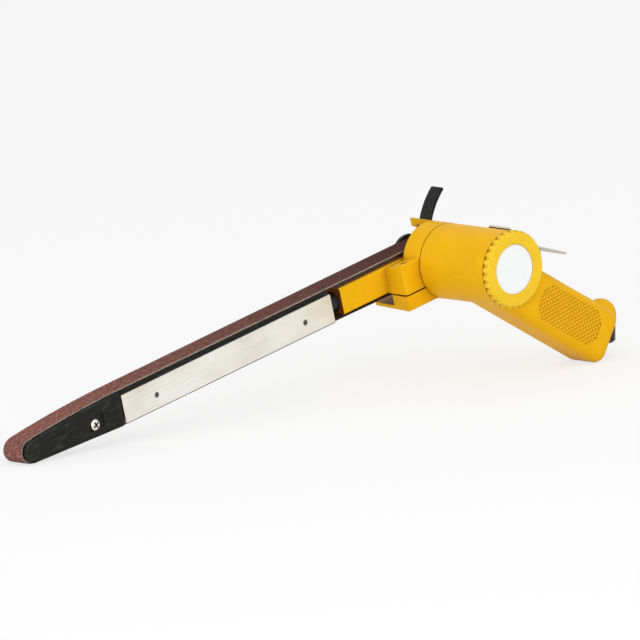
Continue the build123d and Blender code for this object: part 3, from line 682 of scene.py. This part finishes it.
# Polished plates, with a painted shadow along their lowest edge.
PLATE_STEEL = BrushedFinish(
    "brushed_plate", (0.98, 0.97, 0.90), 0.36, metallic=1.0, mottle=0.15, grain=(60, 0.6, 0.22), relief=0.008,
    hem=-8.6,
)
LEVER_STEEL = BrushedFinish(
    "brushed_lever", (0.56, 0.55, 0.45), 0.40, metallic=1.0, mottle=0.12, grain=(0.5, 14, 0.5), relief=0.005
)
TURNED_STEEL = Finish(
    "turned_metal", (0.56, 0.56, 0.55), 0.32, metallic=1.0, mottle=0.12, grain=(24, 0.35, 24)
)
DULL_STEEL = replace(TURNED_STEEL, name="dull_screws", colour=(0.17, 0.165, 0.15))
SPRING_STEEL = Finish("spring_wire", (0.42, 0.42, 0.43), 0.36, metallic=1.0, mottle=0.10, grain=(1, 1, 1))
PLATED_STEEL = Finish(
    "plated_screw", (0.82, 0.79, 0.66), 0.30, metallic=1.0, mottle=0.10, grain=(0.8, 0.8, 0.8)
)
# Blackened metal with paler edges, partly scuffed and partly a painted highlight.
DARK_STEEL = Finish(
    "blackened_metal", (0.022, 0.022, 0.024), 0.38, metallic=0.5, gloss=0.3, mottle=0.2, grain=(1, 1, 1),
    wear_and_highlight=(0.09, 0.09, 0.09),
)
# Grit, darkened towards the motor by a painted shade.
GRIT = GritFinish(
    "grit_coat", (0.225, 0.088, 0.070), 0.85, gloss=0.08, mottle=0.1, grain=(0.34,) * 3, relief=0.10
)
BELT_CLOTH = Finish(
    "belt_backing", (0.035, 0.020, 0.016), 0.9, gloss=0.1, mottle=0.3, grain=(0.5,) * 3, relief=0.03
)
BELT_EDGE = Finish("belt_cut_edge", (0.25, 0.20, 0.16), 0.8, gloss=0.2, mottle=0.7, grain=(3.0, 0.4, 0.4))
FLAP_RUBBER = CastFinish(
    "rubber_strip", (0.008, 0.008, 0.008), 0.6, gloss=0.2, mottle=0.2, grain=(0.9,) * 3, relief=0.03
)
BRASS = Finish("brass_parts", (0.60, 0.42, 0.15), 0.35, metallic=1.0, mottle=0.1, grain=(1, 1, 1))
ALUMINIUM = Finish(
    "machined_light_metal", (0.72, 0.72, 0.73), 0.38, metallic=1.0, mottle=0.06, grain=(1, 1, 1)
)
VANE_FIBRE = Finish("fibre_vanes", (0.24, 0.15, 0.07), 0.7, mottle=0.15, grain=(2, 0.4, 2))
# Painted shadow of the screws' crossed recesses, laid on the heads as thin dark crosses.
RECESS_SHADOW = Finish("painted_recess_shadow", (0.012, 0.011, 0.008), 0.7, gloss=0.1, mottle=0.2, grain=(0.5, 0.5, 0.5))


def dress(finishes: dict[Finish, tuple[str, ...]]) -> list[str]:
    """Give CAD nodes their finishes.

    Args:
        finishes: the nodes' names, by finish.

    Returns:
        The names of the dressed nodes.
    """
    for finish, names in finishes.items():
        for name in names:
            mesh = frame["nodes"][name].data
            mesh.materials.clear()
            mesh.materials.append(finish.material())
    return [name for names in finishes.values() for name in names]


def new_piece(name: str, mesh: bpy.types.Mesh, body: str) -> bpy.types.Object:
    """Put a finished mesh into the scene as a piece of the tool.

    Args:
        name: the piece's name.
        mesh: its mesh, placed in the row frame.
        body: the body that it rides on.

    Returns:
        The object.
    """
    piece = bpy.data.objects.new(name, mesh)
    bpy.context.scene.collection.objects.link(piece)
    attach(piece, body)
    return piece


class NodeShape:
    """A Geometry Nodes tree with named inputs, run once on a mesh."""

    def __init__(self, name: str) -> None:
        """Start a tree that takes and gives a geometry.

        Args:
            name: the tree's name.
        """
        self.tree = bpy.data.node_groups.new(name, "GeometryNodeTree")
        self.tree.interface.new_socket("Geometry", in_out="INPUT", socket_type="NodeSocketGeometry")
        self.tree.interface.new_socket("Geometry", in_out="OUTPUT", socket_type="NodeSocketGeometry")
        self.graph = Graph(self.tree)
        self.values: dict[str, float] = {}
        self.source = self.tree.nodes.new("NodeGroupInput")

    def size(self, name: str, value: float) -> Socket:
        """Add a named input.

        Args:
            name: the input's name.
            value: the value it is run with.

        Returns:
            The input as a socket of the tree.
        """
        item = self.tree.interface.new_socket(name, in_out="INPUT", socket_type="NodeSocketFloat")
        self.values[item.identifier] = value
        return Socket(self.graph, self.source.outputs[name])

    def geometry(self) -> Socket:
        """Give the geometry that the tree is run on."""
        return Socket(self.graph, self.source.outputs["Geometry"])

    def finish(self, instances: Socket, material: bpy.types.Material) -> None:
        """End the tree with plain geometry in one material.

        Args:
            instances: the instances that the tree has made.
            material: the material for them.
        """
        plain = self.graph.node("GeometryNodeRealizeInstances", {}, {"Geometry": instances})
        dressed = self.graph.node("GeometryNodeSetMaterial", {}, {"Geometry": plain, "Material": material})
        self.graph.add("NodeGroupOutput", {}, {"Geometry": dressed})

    def run(self, mesh: bpy.types.Mesh, place: Matrix) -> bpy.types.Mesh:
        """Run the tree on a mesh.

        Args:
            mesh: what the tree starts from.
            place: the matrix that takes the result into the row frame.

        Returns:
            A plain mesh in the row frame.
        """
        carrier = bpy.data.objects.new("carrier", mesh)
        bpy.context.scene.collection.objects.link(carrier)
        modifier = carrier.modifiers.new("shape", "NODES")
        modifier.node_group = self.tree
        for identifier, value in self.values.items():
            modifier[identifier] = value
        graph = bpy.context.evaluated_depsgraph_get()
        made = bpy.data.meshes.new_from_object(carrier.evaluated_get(graph))
        carrier.modifiers.clear()
        bpy.data.objects.remove(carrier)
        made.transform(place)
        return made


@dataclass(frozen=True)
class WoundWire:
    """A round wire wound round an axis, as in a spring or a thread.

    Sizes are in millimetres.

    Attributes:
        turns: number of turns.
        radius: radius of the wire's middle line.
        length: distance between the middles of the wire's ends, along the axis.
        wire: radius of the wire.
        steps: points in a turn.
        sides: sides of the wire's section.
    """

    turns: float
    radius: float
    length: float
    wire: float
    steps: int = 28
    sides: int = 8

    def mesh(self, name: str, finish: Finish, place: Matrix) -> bpy.types.Mesh:
        """Wind the wire.

        Args:
            name: the mesh's name.
            finish: the wire's finish.
            place: the matrix that takes the axis, which runs along Z from the origin, to the row frame.

        Returns:
            The wire's mesh in the row frame.
        """
        shape = NodeShape(name)
        graph = shape.graph
        radius = shape.size("Winding Radius", self.radius * MM)
        winding = {
            "Resolution": self.steps,
            "Rotations": shape.size("Turns", self.turns),
            "Start Radius": radius,
            "End Radius": radius,
            "Height": shape.size("Length", self.length * MM),
        }
        section = {"Resolution": self.sides, "Radius": shape.size("Wire Radius", self.wire * MM)}
        wire = {
            "Curve": graph.node("GeometryNodeCurveSpiral", {}, winding),
            "Profile Curve": graph.node("GeometryNodeCurvePrimitiveCircle", {}, section),
            "Fill Caps": True,
        }
        shape.finish(graph.node("GeometryNodeCurveToMesh", {}, wire), finish.material())
        return shape.run(bpy.data.meshes.new(name), place)


@dataclass
class MotorHandle:
    """The motor, its cap, the valve, and the handle with its checkered pads.

    Sizes are in millimetres and degrees. Places on the handle run down it and up from its axis.

    Attributes:
        slope: the handle's fall below the arm's line.
        middle: the handle's middle along the motor axis.
        half_width: half the handle's width.
        pad_depth: depth of the sunk pads.
        pad_start: where the pads begin, down the handle.
        pad_length: their length.
        pad_height: their height.
        pad_middle: the middle of their height.
        pad_round: radius of their corners.
        pitch: distance between two pyramids.
        flat: radius of a pyramid's flat top.
        stand: how far the pyramids stand out of the pad.
        valve_place: the valve's place down the handle.
        spring_foot: the foot of the valve's spring.
        valve_spring: the spring itself.
        valve_share: share of its length that is left under a pressed plunger; not used.
        inlet: the air inlet's place on the handle.
        inlet_across: its place along the motor axis.
        inlet_forward: how far its axis leans forward.
        thread_start: where the thread begins along that axis.
        thread: the thread's ridge.
    """

    slope: float = 42.2
    middle: float = 53.0
    half_width: float = 13.0
    pad_depth: float = 0.5
    pad_start: float = 27.2
    pad_length: float = 45.0
    pad_height: float = 19.0
    pad_middle: float = -5.0
    pad_round: float = 8.0
    pitch: float = 1.9
    flat: float = 0.35
    stand: float = 0.1
    valve_place: float = 26.0
    spring_foot: float = -8.2
    valve_spring: WoundWire = WoundWire(turns=4.5, radius=3.5, length=9.0, wire=0.5)
    valve_share: float = 0.74
    inlet: tuple[float, float] = (86.7, 8.6)
    inlet_across: float = 47.0
    inlet_forward: float = 15.0
    thread_start: float = 4.8
    thread: WoundWire = WoundWire(turns=6.0, radius=5.72, length=8.46, wire=0.42, sides=4)

    def pad_finish(self) -> GrooveFinish:
        """Give the paint of the pads, darkened in their grooves by a painted shade.

        Returns:
            The finish.
        """
        return GrooveFinish(
            "pad_enamel", (0.86, 0.47, 0.012), YELLOW_PAINT.roughness, gloss=YELLOW_PAINT.gloss,
            sheen=YELLOW_PAINT.sheen, middle=self.middle, bottom=self.half_width - self.pad_depth,
            depth=self.pad_depth,
        )

    def pad_shape(self) -> NodeShape:
        """Build the tree that sets small blunt pyramids inside the outlines of the pads.

        Returns:
            The tree, to be run on the points of both sides.
        """
        shape = NodeShape("checkered_pads")
        graph = shape.graph
        half_length = shape.size("Half Length", self.pad_length / 2 * MM)
        half_height = shape.size("Half Height", self.pad_height / 2 * MM)
        corner = shape.size("Corner Radius", self.pad_round * MM)
        pyramid = {
            "Vertices": 4,
            "Radius Bottom": shape.size("Pyramid Reach", self.pitch / math.sqrt(2) * MM),
            "Radius Top": shape.size("Flat Top", self.flat * MM),
            "Depth": shape.size("Pyramid Height", (self.pad_depth + self.stand) * MM),
        }
        place = graph.node("GeometryNodeInputPosition", {}, {})
        apart = graph.add("ShaderNodeSeparateXYZ", {}, {"Vector": place})
        x, y, z = (Socket(graph, apart.outputs[axis]) for axis in "XYZ")
        out_x = (abs(x) - (half_length - corner)).at_least(0.0)
        out_y = (abs(y) - (half_height - corner)).at_least(0.0)
        spread = {
            "Points": shape.geometry(),
            "Selection": (out_x * out_x + out_y * out_y).root() < corner,
            "Instance": graph.node("GeometryNodeMeshCone", {}, pyramid),
            "Rotation": graph.node("ShaderNodeCombineXYZ", {}, {"X": (z < 0.0) * math.pi}),
        }
        shape.finish(graph.node("GeometryNodeInstanceOnPoints", {}, spread), self.pad_finish().material())
        return shape

    def pad_points(self) -> bpy.types.Mesh:
        """Make the diagonal grids of points that the pyramids stand on, one on each side of the handle.

        Returns:
            A mesh of loose points round the middle of the pads.
        """
        count = int(self.pad_length / self.pitch)
        diagonal = self.pitch * MM / math.sqrt(2)
        steps = range(-count, count + 1)
        floor = (self.half_width - self.pad_depth) * MM
        mesh = bpy.data.meshes.new("pad_points")
        mesh.from_pydata(
            [
                ((i + j) * diagonal, (i - j) * diagonal, side.value * floor)
                for side in Side for i in steps for j in steps
            ], [], [],
        )
        return mesh

    def build_pads(self) -> str:
        """Set a checkered pad into each side of the handle.

        Returns:
            The piece's name.
        """
        middle = Vector(((self.pad_start + self.pad_length / 2) * MM, self.pad_middle * MM, 0.0))
        place = TOOL.handle_matrix(self.slope, self.middle) @ Matrix.Translation(middle)
        mesh = self.pad_shape().run(self.pad_points(), place)
        return new_piece("checkered_pads", mesh, "motor").name

    def build_valve_spring(self) -> str:
        """Wind the spring under the valve's plunger.

        Returns:
            The piece's name.
        """
        foot = Vector((self.valve_place * MM, (self.spring_foot + self.valve_spring.wire) * MM, 0.0))
        handle = TOOL.handle_matrix(self.slope, self.middle)
        place = handle @ Matrix.Translation(foot) @ Matrix.Rotation(-math.pi / 2, 4, "X")
        mesh = self.valve_spring.mesh("valve_coil", SPRING_STEEL, place)
        piece = new_piece("valve_coil", mesh, "motor")
        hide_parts("valve_spring")
        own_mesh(piece)
        return piece.name

    def build_inlet_thread(self) -> str:
        """Cut the look of a thread into the air inlet.

        Returns:
            The piece's name.
        """
        inlet = Vector((self.inlet[0] * MM, self.inlet[1] * MM, 0.0))
        origin = TOOL.handle_matrix(self.slope, self.inlet_across) @ inlet
        lean = math.radians(self.inlet_forward)
        axis = TOOL.along * math.sin(lean) - TOOL.up * math.cos(lean)
        side = TOOL.across.cross(axis)
        turn = Matrix((TOOL.across, -side, axis)).transposed().to_4x4()
        place = Matrix.Translation(origin + axis * self.thread_start * MM) @ turn
        mesh = self.thread.mesh("inlet_thread", DARK_STEEL, place)
        return new_piece("inlet_thread", mesh, "motor").name

    def build(self) -> list[str]:
        """Dress the motor's nodes and build its own pieces.

        Returns:
            The names of the pieces.
        """
        turned = (
            "motor_cylinder", "front_bearing", "rear_bearing", "lever_pin", "rotor", "pulley_washer",
            "pulley_nut", "valve_plunger",
        )
        dressed = dress({
            YELLOW_PAINT: ("motor_body",),
            CAP_PAINT: ("end_cap",),
            BADGE_WHITE: ("badge_disc",),
            FLAP_RUBBER: ("cap_seal",),
            TURNED_STEEL: turned,
            BRASS: ("inlet_strainer", "exhaust_silencer", "valve_bushing"),
            ALUMINIUM: ("front_end_plate", "rear_end_plate"),
            DARK_STEEL: ("inlet_bushing", "drive_pulley"),
            VANE_FIBRE: ("vanes",),
            LEVER_STEEL: ("throttle_lever",),
        })
        return [*dressed, self.build_pads(), self.build_valve_spring(), self.build_inlet_thread()]


@dataclass
class FrontArm:
    """The sliding arm: core, polished plates, nose fork, and the painted shadows of its screws' drives.

    Sizes are in millimetres and degrees.

    Attributes:
        plate_face: distance of the plates' screw heads from the arm's middle.
        plate_screw_x: places of those screws along the arm.
        plate_screw_z: their height.
        plate_drive: length of their recesses.
        nose_screw: the middle of the nose screw's head.
        nose_drive: length of its recess.
        drive_width: width of a recess, as a share of its length.
        drive_turn: turn of the recesses about the screws.
        proud: how far the dark crosses that paint the recesses' shadow lie in front of the head.
    """

    plate_face: float = 7.7
    plate_screw_x: tuple[float, float] = (89.2, 194.2)
    plate_screw_z: float = -1.8
    plate_drive: float = 1.8
    nose_screw: tuple[float, float, float] = (237.8, 8.9, -1.7)
    nose_drive: float = 4.0
    drive_width: float = 0.22
    drive_turn: float = 38.0
    proud: float = 0.02

    def drive_shape(self) -> NodeShape:
        """Build the tree that lays a thin dark cross on each screw head, a painted shadow of its crossed
        recess.

        Returns:
            The tree, to be run on the heads' middles, each with its drive's length.
        """
        shape = NodeShape("cross_drives")
        graph = shape.graph
        width = shape.size("Arm Width", self.drive_width)
        depth = shape.size("Depth", 2 * self.proud * MM)
        cross = graph.add("GeometryNodeJoinGeometry", {}, {})
        for sides in ({"X": 1.0, "Y": depth, "Z": width}, {"X": width, "Y": depth, "Z": 1.0}):
            size = graph.node("ShaderNodeCombineXYZ", {}, sides)
            arm = graph.node("GeometryNodeMeshCube", {}, {"Size": size})
            shape.tree.links.new(arm.output, cross.inputs["Geometry"])
        turn = shape.size("Turn", math.radians(self.drive_turn))
        length = graph.node("GeometryNodeInputNamedAttribute", {}, {"Name": "drive_length"})
        spread = {
            "Points": shape.geometry(),
            "Instance": Socket(graph, cross.outputs["Geometry"]),
            "Rotation": graph.node("ShaderNodeCombineXYZ", {}, {"Y": turn}),
            "Scale": graph.node("ShaderNodeCombineXYZ", {}, {"X": length, "Y": 1.0, "Z": length}),
        }
        shape.finish(graph.node("GeometryNodeInstanceOnPoints", {}, spread), RECESS_SHADOW.material())
        return shape

    def build_drives(self) -> str:
        """Lay the dark crosses that paint the recesses' shadow on the plates' screws and on the nose screw.

        Returns:
            The piece's name.
        """
        heads = {
            (x, side.value * self.plate_face, self.plate_screw_z): self.plate_drive
            for x in self.plate_screw_x for side in Side
        }
        heads[self.nose_screw] = self.nose_drive
        points = bpy.data.meshes.new("screw_heads")
        points.from_pydata([TOOL.at(*head) for head in heads], [], [])
        lengths = points.attributes.new("drive_length", "FLOAT", "POINT")
        lengths.data.foreach_set("value", [length * MM for length in heads.values()])
        mesh = self.drive_shape().run(points, Matrix.Identity(4))
        return new_piece("screw_drives", mesh, "front_arm").name

    def build(self) -> list[str]:
        """Dress the arm's nodes and build the screws' drives.

        Returns:
            The names of the pieces.
        """
        dressed = dress({
            BLACK_CAST: ("arm_core", "nose_block", "idler_axle"),
            PLATE_STEEL: ("near_side_plate", "far_side_plate"),
            DARK_STEEL: ("tension_rod",),
            PLATED_STEEL: ("nose_screw",),
            TURNED_STEEL: ("idler_roller",),
            DULL_STEEL: ("plate_screws",),
            BRASS: ("idler_bush",),
        })
        return [*dressed, self.build_drives()]


@dataclass
class ArmBase:
    """The swivelling base of the arm with its lower guard, rubber flap and tension spring.

    Sizes are in millimetres and degrees.

    Attributes:
        flap_width: the strip's width.
        flap_thickness: its thickness.
        flap_foot_x: place of its foot along the arm, on the hub.
        flap_bead: how far its bead reaches below the roof.
        flap_stand: how far above the hub its curve begins.
        flap_bend: how far below the curve its straight foot ends.
        hub_radius: outer radius of the hub.
        roof_radius: inner radius of the pulley's roof.
        flap_radius: radius of the curve.
        flap_turn: angle of the curve.
        flap_lean: how far the curve's start leans back from upright.
        steps: number of steps in the curve.
        edge: radius of the strip's rounded edges.
        edge_segments: steps of the rounding.
        sharp: angle above which an edge is rounded.
        spring_foot: the tension spring's foot.
        spring: the spring itself.
        spring_share: share of its length that is left when the front arm is pushed back; not used.
    """

    flap_width: float = 8.3
    flap_thickness: float = 1.6
    flap_foot_x: float = -9.2
    flap_bead: float = 1.4
    flap_stand: float = 0.4
    flap_bend: float = 1.4
    hub_radius: float = 19.2
    roof_radius: float = 15.0
    flap_radius: float = 37.0
    flap_turn: float = 27.0
    flap_lean: float = 30.0
    steps: int = 16
    edge: float = 0.35
    edge_segments: int = 2
    sharp: float = 60.0
    spring_foot: tuple[float, float, float] = (20.3, 0.0, -1.2)
    spring: WoundWire = WoundWire(turns=5.5, radius=4.1, length=17.6, wire=0.9, sides=12)
    spring_share: float = 0.64

    def flap_path(self) -> list[Vector]:
        """Give the middle line of the flap, from its bead under the roof to its tip.

        Returns:
            Places in the tool's frame, in millimetres.
        """
        angle = math.acos(self.flap_foot_x / self.hub_radius)
        out = Vector((math.cos(angle), 0.0, math.sin(angle)))
        lean = math.radians(90 + self.flap_lean)
        heading = Vector((math.cos(lean), 0.0, math.sin(lean)))
        side = Vector((-heading.z, 0.0, heading.x))
        rise = out * (self.hub_radius + self.flap_stand)
        centre = rise + side * self.flap_radius
        path = [out * (self.roof_radius - self.flap_bead), rise - out * self.flap_bend]
        for i in range(self.steps + 1):
            turn = math.radians(self.flap_turn) * i / self.steps
            path.append(centre + (heading * math.sin(turn) - side * math.cos(turn)) * self.flap_radius)
        return path

    def build_flap(self) -> str:
        """Build the rubber flap as a rounded strip along its path.

        Returns:
            The piece's name.
        """
        path = self.flap_path()
        across = Vector((0.0, self.flap_width / 2, 0.0))
        shape = bmesh.new()
        rings = []
        for i, place in enumerate(path):
            ahead = path[min(i + 1, len(path) - 1)] - path[max(i - 1, 0)]
            normal = Vector((-ahead.z, 0.0, ahead.x)).normalized() * self.flap_thickness / 2
            corners = (-across - normal, across - normal, across + normal, -across + normal)
            rings.append([shape.verts.new(TOOL.at(*(place + corner))) for corner in corners])
        for low, high in zip(rings, rings[1:]):
            for i in range(len(low)):
                shape.faces.new((low[i - 1], low[i], high[i], high[i - 1]))
        shape.faces.new(rings[0])
        shape.faces.new(rings[-1])
        bmesh.ops.recalc_face_normals(shape, faces=shape.faces)
        long_edges = [edge for edge in shape.edges if edge.calc_face_angle(0.0) > math.radians(self.sharp)]
        bmesh.ops.bevel(
            shape, geom=long_edges, offset=self.edge * MM, segments=self.edge_segments, affect="EDGES"
        )
        mesh = bpy.data.meshes.new("rubber_flap")
        shape.to_mesh(mesh)
        shape.free()
        mesh.materials.append(FLAP_RUBBER.material())
        flap = new_piece("rubber_flap", mesh, "arm")
        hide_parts("guard_flap")
        return flap.name

    def build_spring(self) -> str:
        """Wind the spring that pushes the front arm out.

        Returns:
            The piece's name.
        """
        turn = Matrix((TOOL.across, TOOL.up, TOOL.along)).transposed().to_4x4()
        foot = TOOL.at(*self.spring_foot)
        place = Matrix.Translation(foot + TOOL.along * self.spring.wire * MM) @ turn
        mesh = self.spring.mesh("tension_coil", SPRING_STEEL, place)
        piece = new_piece("tension_coil", mesh, "arm")
        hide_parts("tension_spring")
        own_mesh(piece)
        return piece.name

    def build(self) -> list[str]:
        """Dress the base's nodes and build the flap and the spring.

        Returns:
            The names of the pieces.
        """
        dressed = dress({
            ARM_PAINT: ("arm_base", "lower_guard"),
            DARK_STEEL: ("clamp_screws",),
            TURNED_STEEL: ("guide_pin",),
        })
        return [*dressed, self.build_flap(), self.build_spring()]


@dataclass
class SandingBelt:
    """The abrasive belt: grit outside, cloth inside, and cut edges that are pale but for the lower run's,
    which take the cloth's colour as a painted shade.

    Sizes are in millimetres.

    Attributes:
        centre_distance: distance between the axes of the two pulleys.
        slack_share: share of the belt's length that is left when the front arm is pushed back; not used.
        nose_tip: the belt's front end along the arm.
        nose_rear: place along the arm where the pale edges of the lower run end.
        edge_turn: cosine to the motor axis above which a face is a cut edge.
    """

    centre_distance: float = 281.0
    slack_share: float = 0.976
    nose_tip: float = 287.3
    nose_rear: float = 250.0
    edge_turn: float = 0.7

    def kind_of(self, polygon: bpy.types.MeshPolygon) -> BeltFace:
        """Tell which surface of the belt a face belongs to.

        Args:
            polygon: a face of the belt's mesh.

        Returns:
            The kind of surface.
        """
        place = TOOL.local(polygon.center)
        if abs(polygon.normal.dot(TOOL.across)) > self.edge_turn:
            # Painted shade: the cut edges of the lower run, under the arm, take the cloth's dark colour.
            lower_run = place.z < 0 and place.x < self.nose_rear
            return BeltFace.CLOTH if lower_run else BeltFace.CUT_EDGE
        nearest = min(max(place.x, 0.0), self.centre_distance)
        outward = TOOL.along * (place.x - nearest) + TOOL.up * place.z
        return BeltFace.GRIT if polygon.normal.dot(outward) > 0 else BeltFace.CLOTH

    def build(self) -> list[str]:
        """Dress the belt face by face.

        Returns:
            The name of the piece.
        """
        belt = frame["nodes"]["sanding_belt"]
        belt.data.materials.clear()
        for finish in (GRIT, BELT_CLOTH, BELT_EDGE):
            belt.data.materials.append(finish.material())
        for polygon in belt.data.polygons:
            polygon.material_index = self.kind_of(polygon).value
        TOOL.at(self.nose_tip, 0, 0)
        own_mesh(belt)
        return [belt.name]


@dataclass(frozen=True)
class Lamp:
    """A square lamp.

    Attributes:
        name: the lamp's name.
        place: its place in the row frame, in metres.
        size: length of its sides, in metres.
        power: its power, in watts.
    """

    name: str
    place: tuple[float, float, float]
    size: float
    power: float


@dataclass
class Studio:
    """A pale floor, soft lamps and the camera.

    Attributes:
        azimuth: the camera's turn round the tool, in degrees.
        elevation: its height over the floor's plane, in degrees.
        roll: its tilt, in degrees.
        picture: width of the picture, in points.
        motor_point: where the motor axis comes out, in points from the picture's top left corner.
        scale: points per millimetre.
        lens: focal length, in millimetres.
        sensor: width of the sensor, in millimetres.
        far_clip: how far the camera sees, in metres.
        floor_half: half the floor's width, in metres.
        floor_drop: how far the floor lies under the tool, in metres.
        floor_grey: the floor's brightness.
        floor_roughness: how dull the floor is.
        floor_glow: share of plain white in the floor where it is seen straight.
        world_strength: strength of the even light.
        lamps: the lamps round the tool.
    """

    azimuth: float = 137.5
    elevation: float = 10.27
    roll: float = 3.42
    picture: float = 640.0
    motor_point: tuple[float, float] = (419.3, 257.0)
    scale: float = 1.986
    lens: float = 1500.0
    sensor: float = 36.0
    far_clip: float = 100.0
    floor_half: float = 4.0
    floor_drop: float = 0.0004
    floor_grey: float = 0.86
    floor_roughness: float = 0.9
    floor_glow: float = 0.72
    world_strength: float = 0.68
    lamps: tuple[Lamp, ...] = (
        Lamp("key", (0.5, 1.2, 1.0), 2.0, 13.8),
        Lamp("low_fill", (1.3, 0.9, 0.35), 0.6, 4.0),
        Lamp("front", (1.4, -1.2, 0.4), 0.8, 3.3),
        Lamp("back", (-1.0, -0.8, 1.2), 2.0, 2.4),
    )

    def build_camera(self) -> None:
        """Stand the camera where the motor axis and the scale come out as in the picture."""
        a, e, r = (math.radians(value) for value in (self.azimuth, self.elevation, self.roll))
        back = Vector((math.sin(a) * math.cos(e), -math.cos(a) * math.cos(e), math.sin(e)))
        level = Vector((math.cos(a), math.sin(a), 0.0))
        lift = back.cross(level)
        right = level * math.cos(r) - lift * math.sin(r)
        upward = lift * math.cos(r) + level * math.sin(r)
        aside = (self.picture / 2 - self.motor_point[0]) / self.scale * MM
        above = (self.motor_point[1] - self.picture / 2) / self.scale * MM
        target = TOOL.origin + right * aside + upward * above
        distance = self.lens / self.sensor * self.picture / self.scale * MM
        data = bpy.data.cameras.new("camera")
        data.lens = self.lens
        data.sensor_width = self.sensor
        data.clip_end = self.far_clip
        camera = bpy.data.objects.new("camera", data)
        turn = Matrix((right, upward, back)).transposed().to_4x4()
        camera.matrix_world = Matrix.Translation(target + back * distance) @ turn
        bpy.context.scene.collection.objects.link(camera)
        bpy.context.scene.camera = camera

    def seen_straight(self, graph: Graph) -> Socket:
        """Give one where the camera, a reflection or a clear piece shows the backdrop, else nought.

        Args:
            graph: the tree of the floor or the world.

        Returns:
            The mask.
        """
        ray = graph.add("ShaderNodeLightPath", {}, {})
        names = ("Is Camera Ray", "Is Glossy Ray", "Is Transmission Ray")
        camera, gloss, glass = (Socket(graph, ray.outputs[name]) for name in names)
        return (camera + gloss + glass).at_most(1.0)

    def build_floor(self) -> None:
        """Lay a pale floor that keeps the tool's shadow."""
        half = self.floor_half
        mesh = bpy.data.meshes.new("floor")
        square = ((-half, -half), (half, -half), (half, half), (-half, half))
        mesh.from_pydata([(x, y, -self.floor_drop) for x, y in square], [], [(0, 1, 2, 3)])
        material = bpy.data.materials.new("floor")
        material.use_nodes = True
        graph = Graph(material.node_tree)
        shader = material.node_tree.nodes["Principled BSDF"]
        shader.inputs["Base Color"].default_value = (*(self.floor_grey,) * 3, 1.0)
        shader.inputs["Roughness"].default_value = self.floor_roughness
        shader.inputs["Specular IOR Level"].default_value = 0.0
        glow = graph.node("ShaderNodeEmission", {}, {"Color": (1.0, 1.0, 1.0, 1.0), "Strength": 1.0})
        shader_out = Socket(graph, shader.outputs["BSDF"])
        share = self.seen_straight(graph) * self.floor_glow
        mixed = graph.node("ShaderNodeMixShader", {}, {0: share, 1: shader_out, 2: glow})
        output = material.node_tree.nodes["Material Output"]
        material.node_tree.links.new(mixed.output, output.inputs["Surface"])
        mesh.materials.append(material)
        floor = bpy.data.objects.new("floor", mesh)
        bpy.context.scene.collection.objects.link(floor)

    def build_world(self) -> None:
        """Light the scene evenly and show white behind it."""
        world = bpy.data.worlds.new("studio")
        bpy.context.scene.world = world
        world.use_nodes = True
        graph = Graph(world.node_tree)
        background = world.node_tree.nodes["Background"]
        background.inputs["Color"].default_value = (1.0, 1.0, 1.0, 1.0)
        strength = self.seen_straight(graph) * (1.0 - self.world_strength) + self.world_strength
        world.node_tree.links.new(strength.output, background.inputs["Strength"])

    def build_lamps(self) -> None:
        """Hang soft square lamps round the tool."""
        for lamp in self.lamps:
            data = bpy.data.lights.new(lamp.name, "AREA")
            data.energy = lamp.power
            data.size = lamp.size
            hung = bpy.data.objects.new(lamp.name, data)
            hung.location = lamp.place
            hung.rotation_mode = "QUATERNION"
            hung.rotation_quaternion = (TOOL.origin - Vector(lamp.place)).to_track_quat("-Z", "Y")
            bpy.context.scene.collection.objects.link(hung)

    def build(self) -> list[str]:
        """Build floor, light and camera, and set the plain view transform.

        Returns:
            The names of what the studio holds.
        """
        bpy.context.scene.view_settings.view_transform = "Standard"
        self.build_floor()
        self.build_world()
        self.build_lamps()
        self.build_camera()
        return ["floor", "world", *(lamp.name for lamp in self.lamps), "camera"]


def main() -> None:
    """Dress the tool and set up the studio."""
    logging.basicConfig(level=logging.INFO, format="%(name)s: %(message)s")
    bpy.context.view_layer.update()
    for assembly in (MotorHandle(), ArmBase(), FrontArm(), SandingBelt(), Studio()):
        for piece in assembly.build():
            log.info("%s: %s", type(assembly).__name__, piece)


if __name__ == "__main__":
    main()
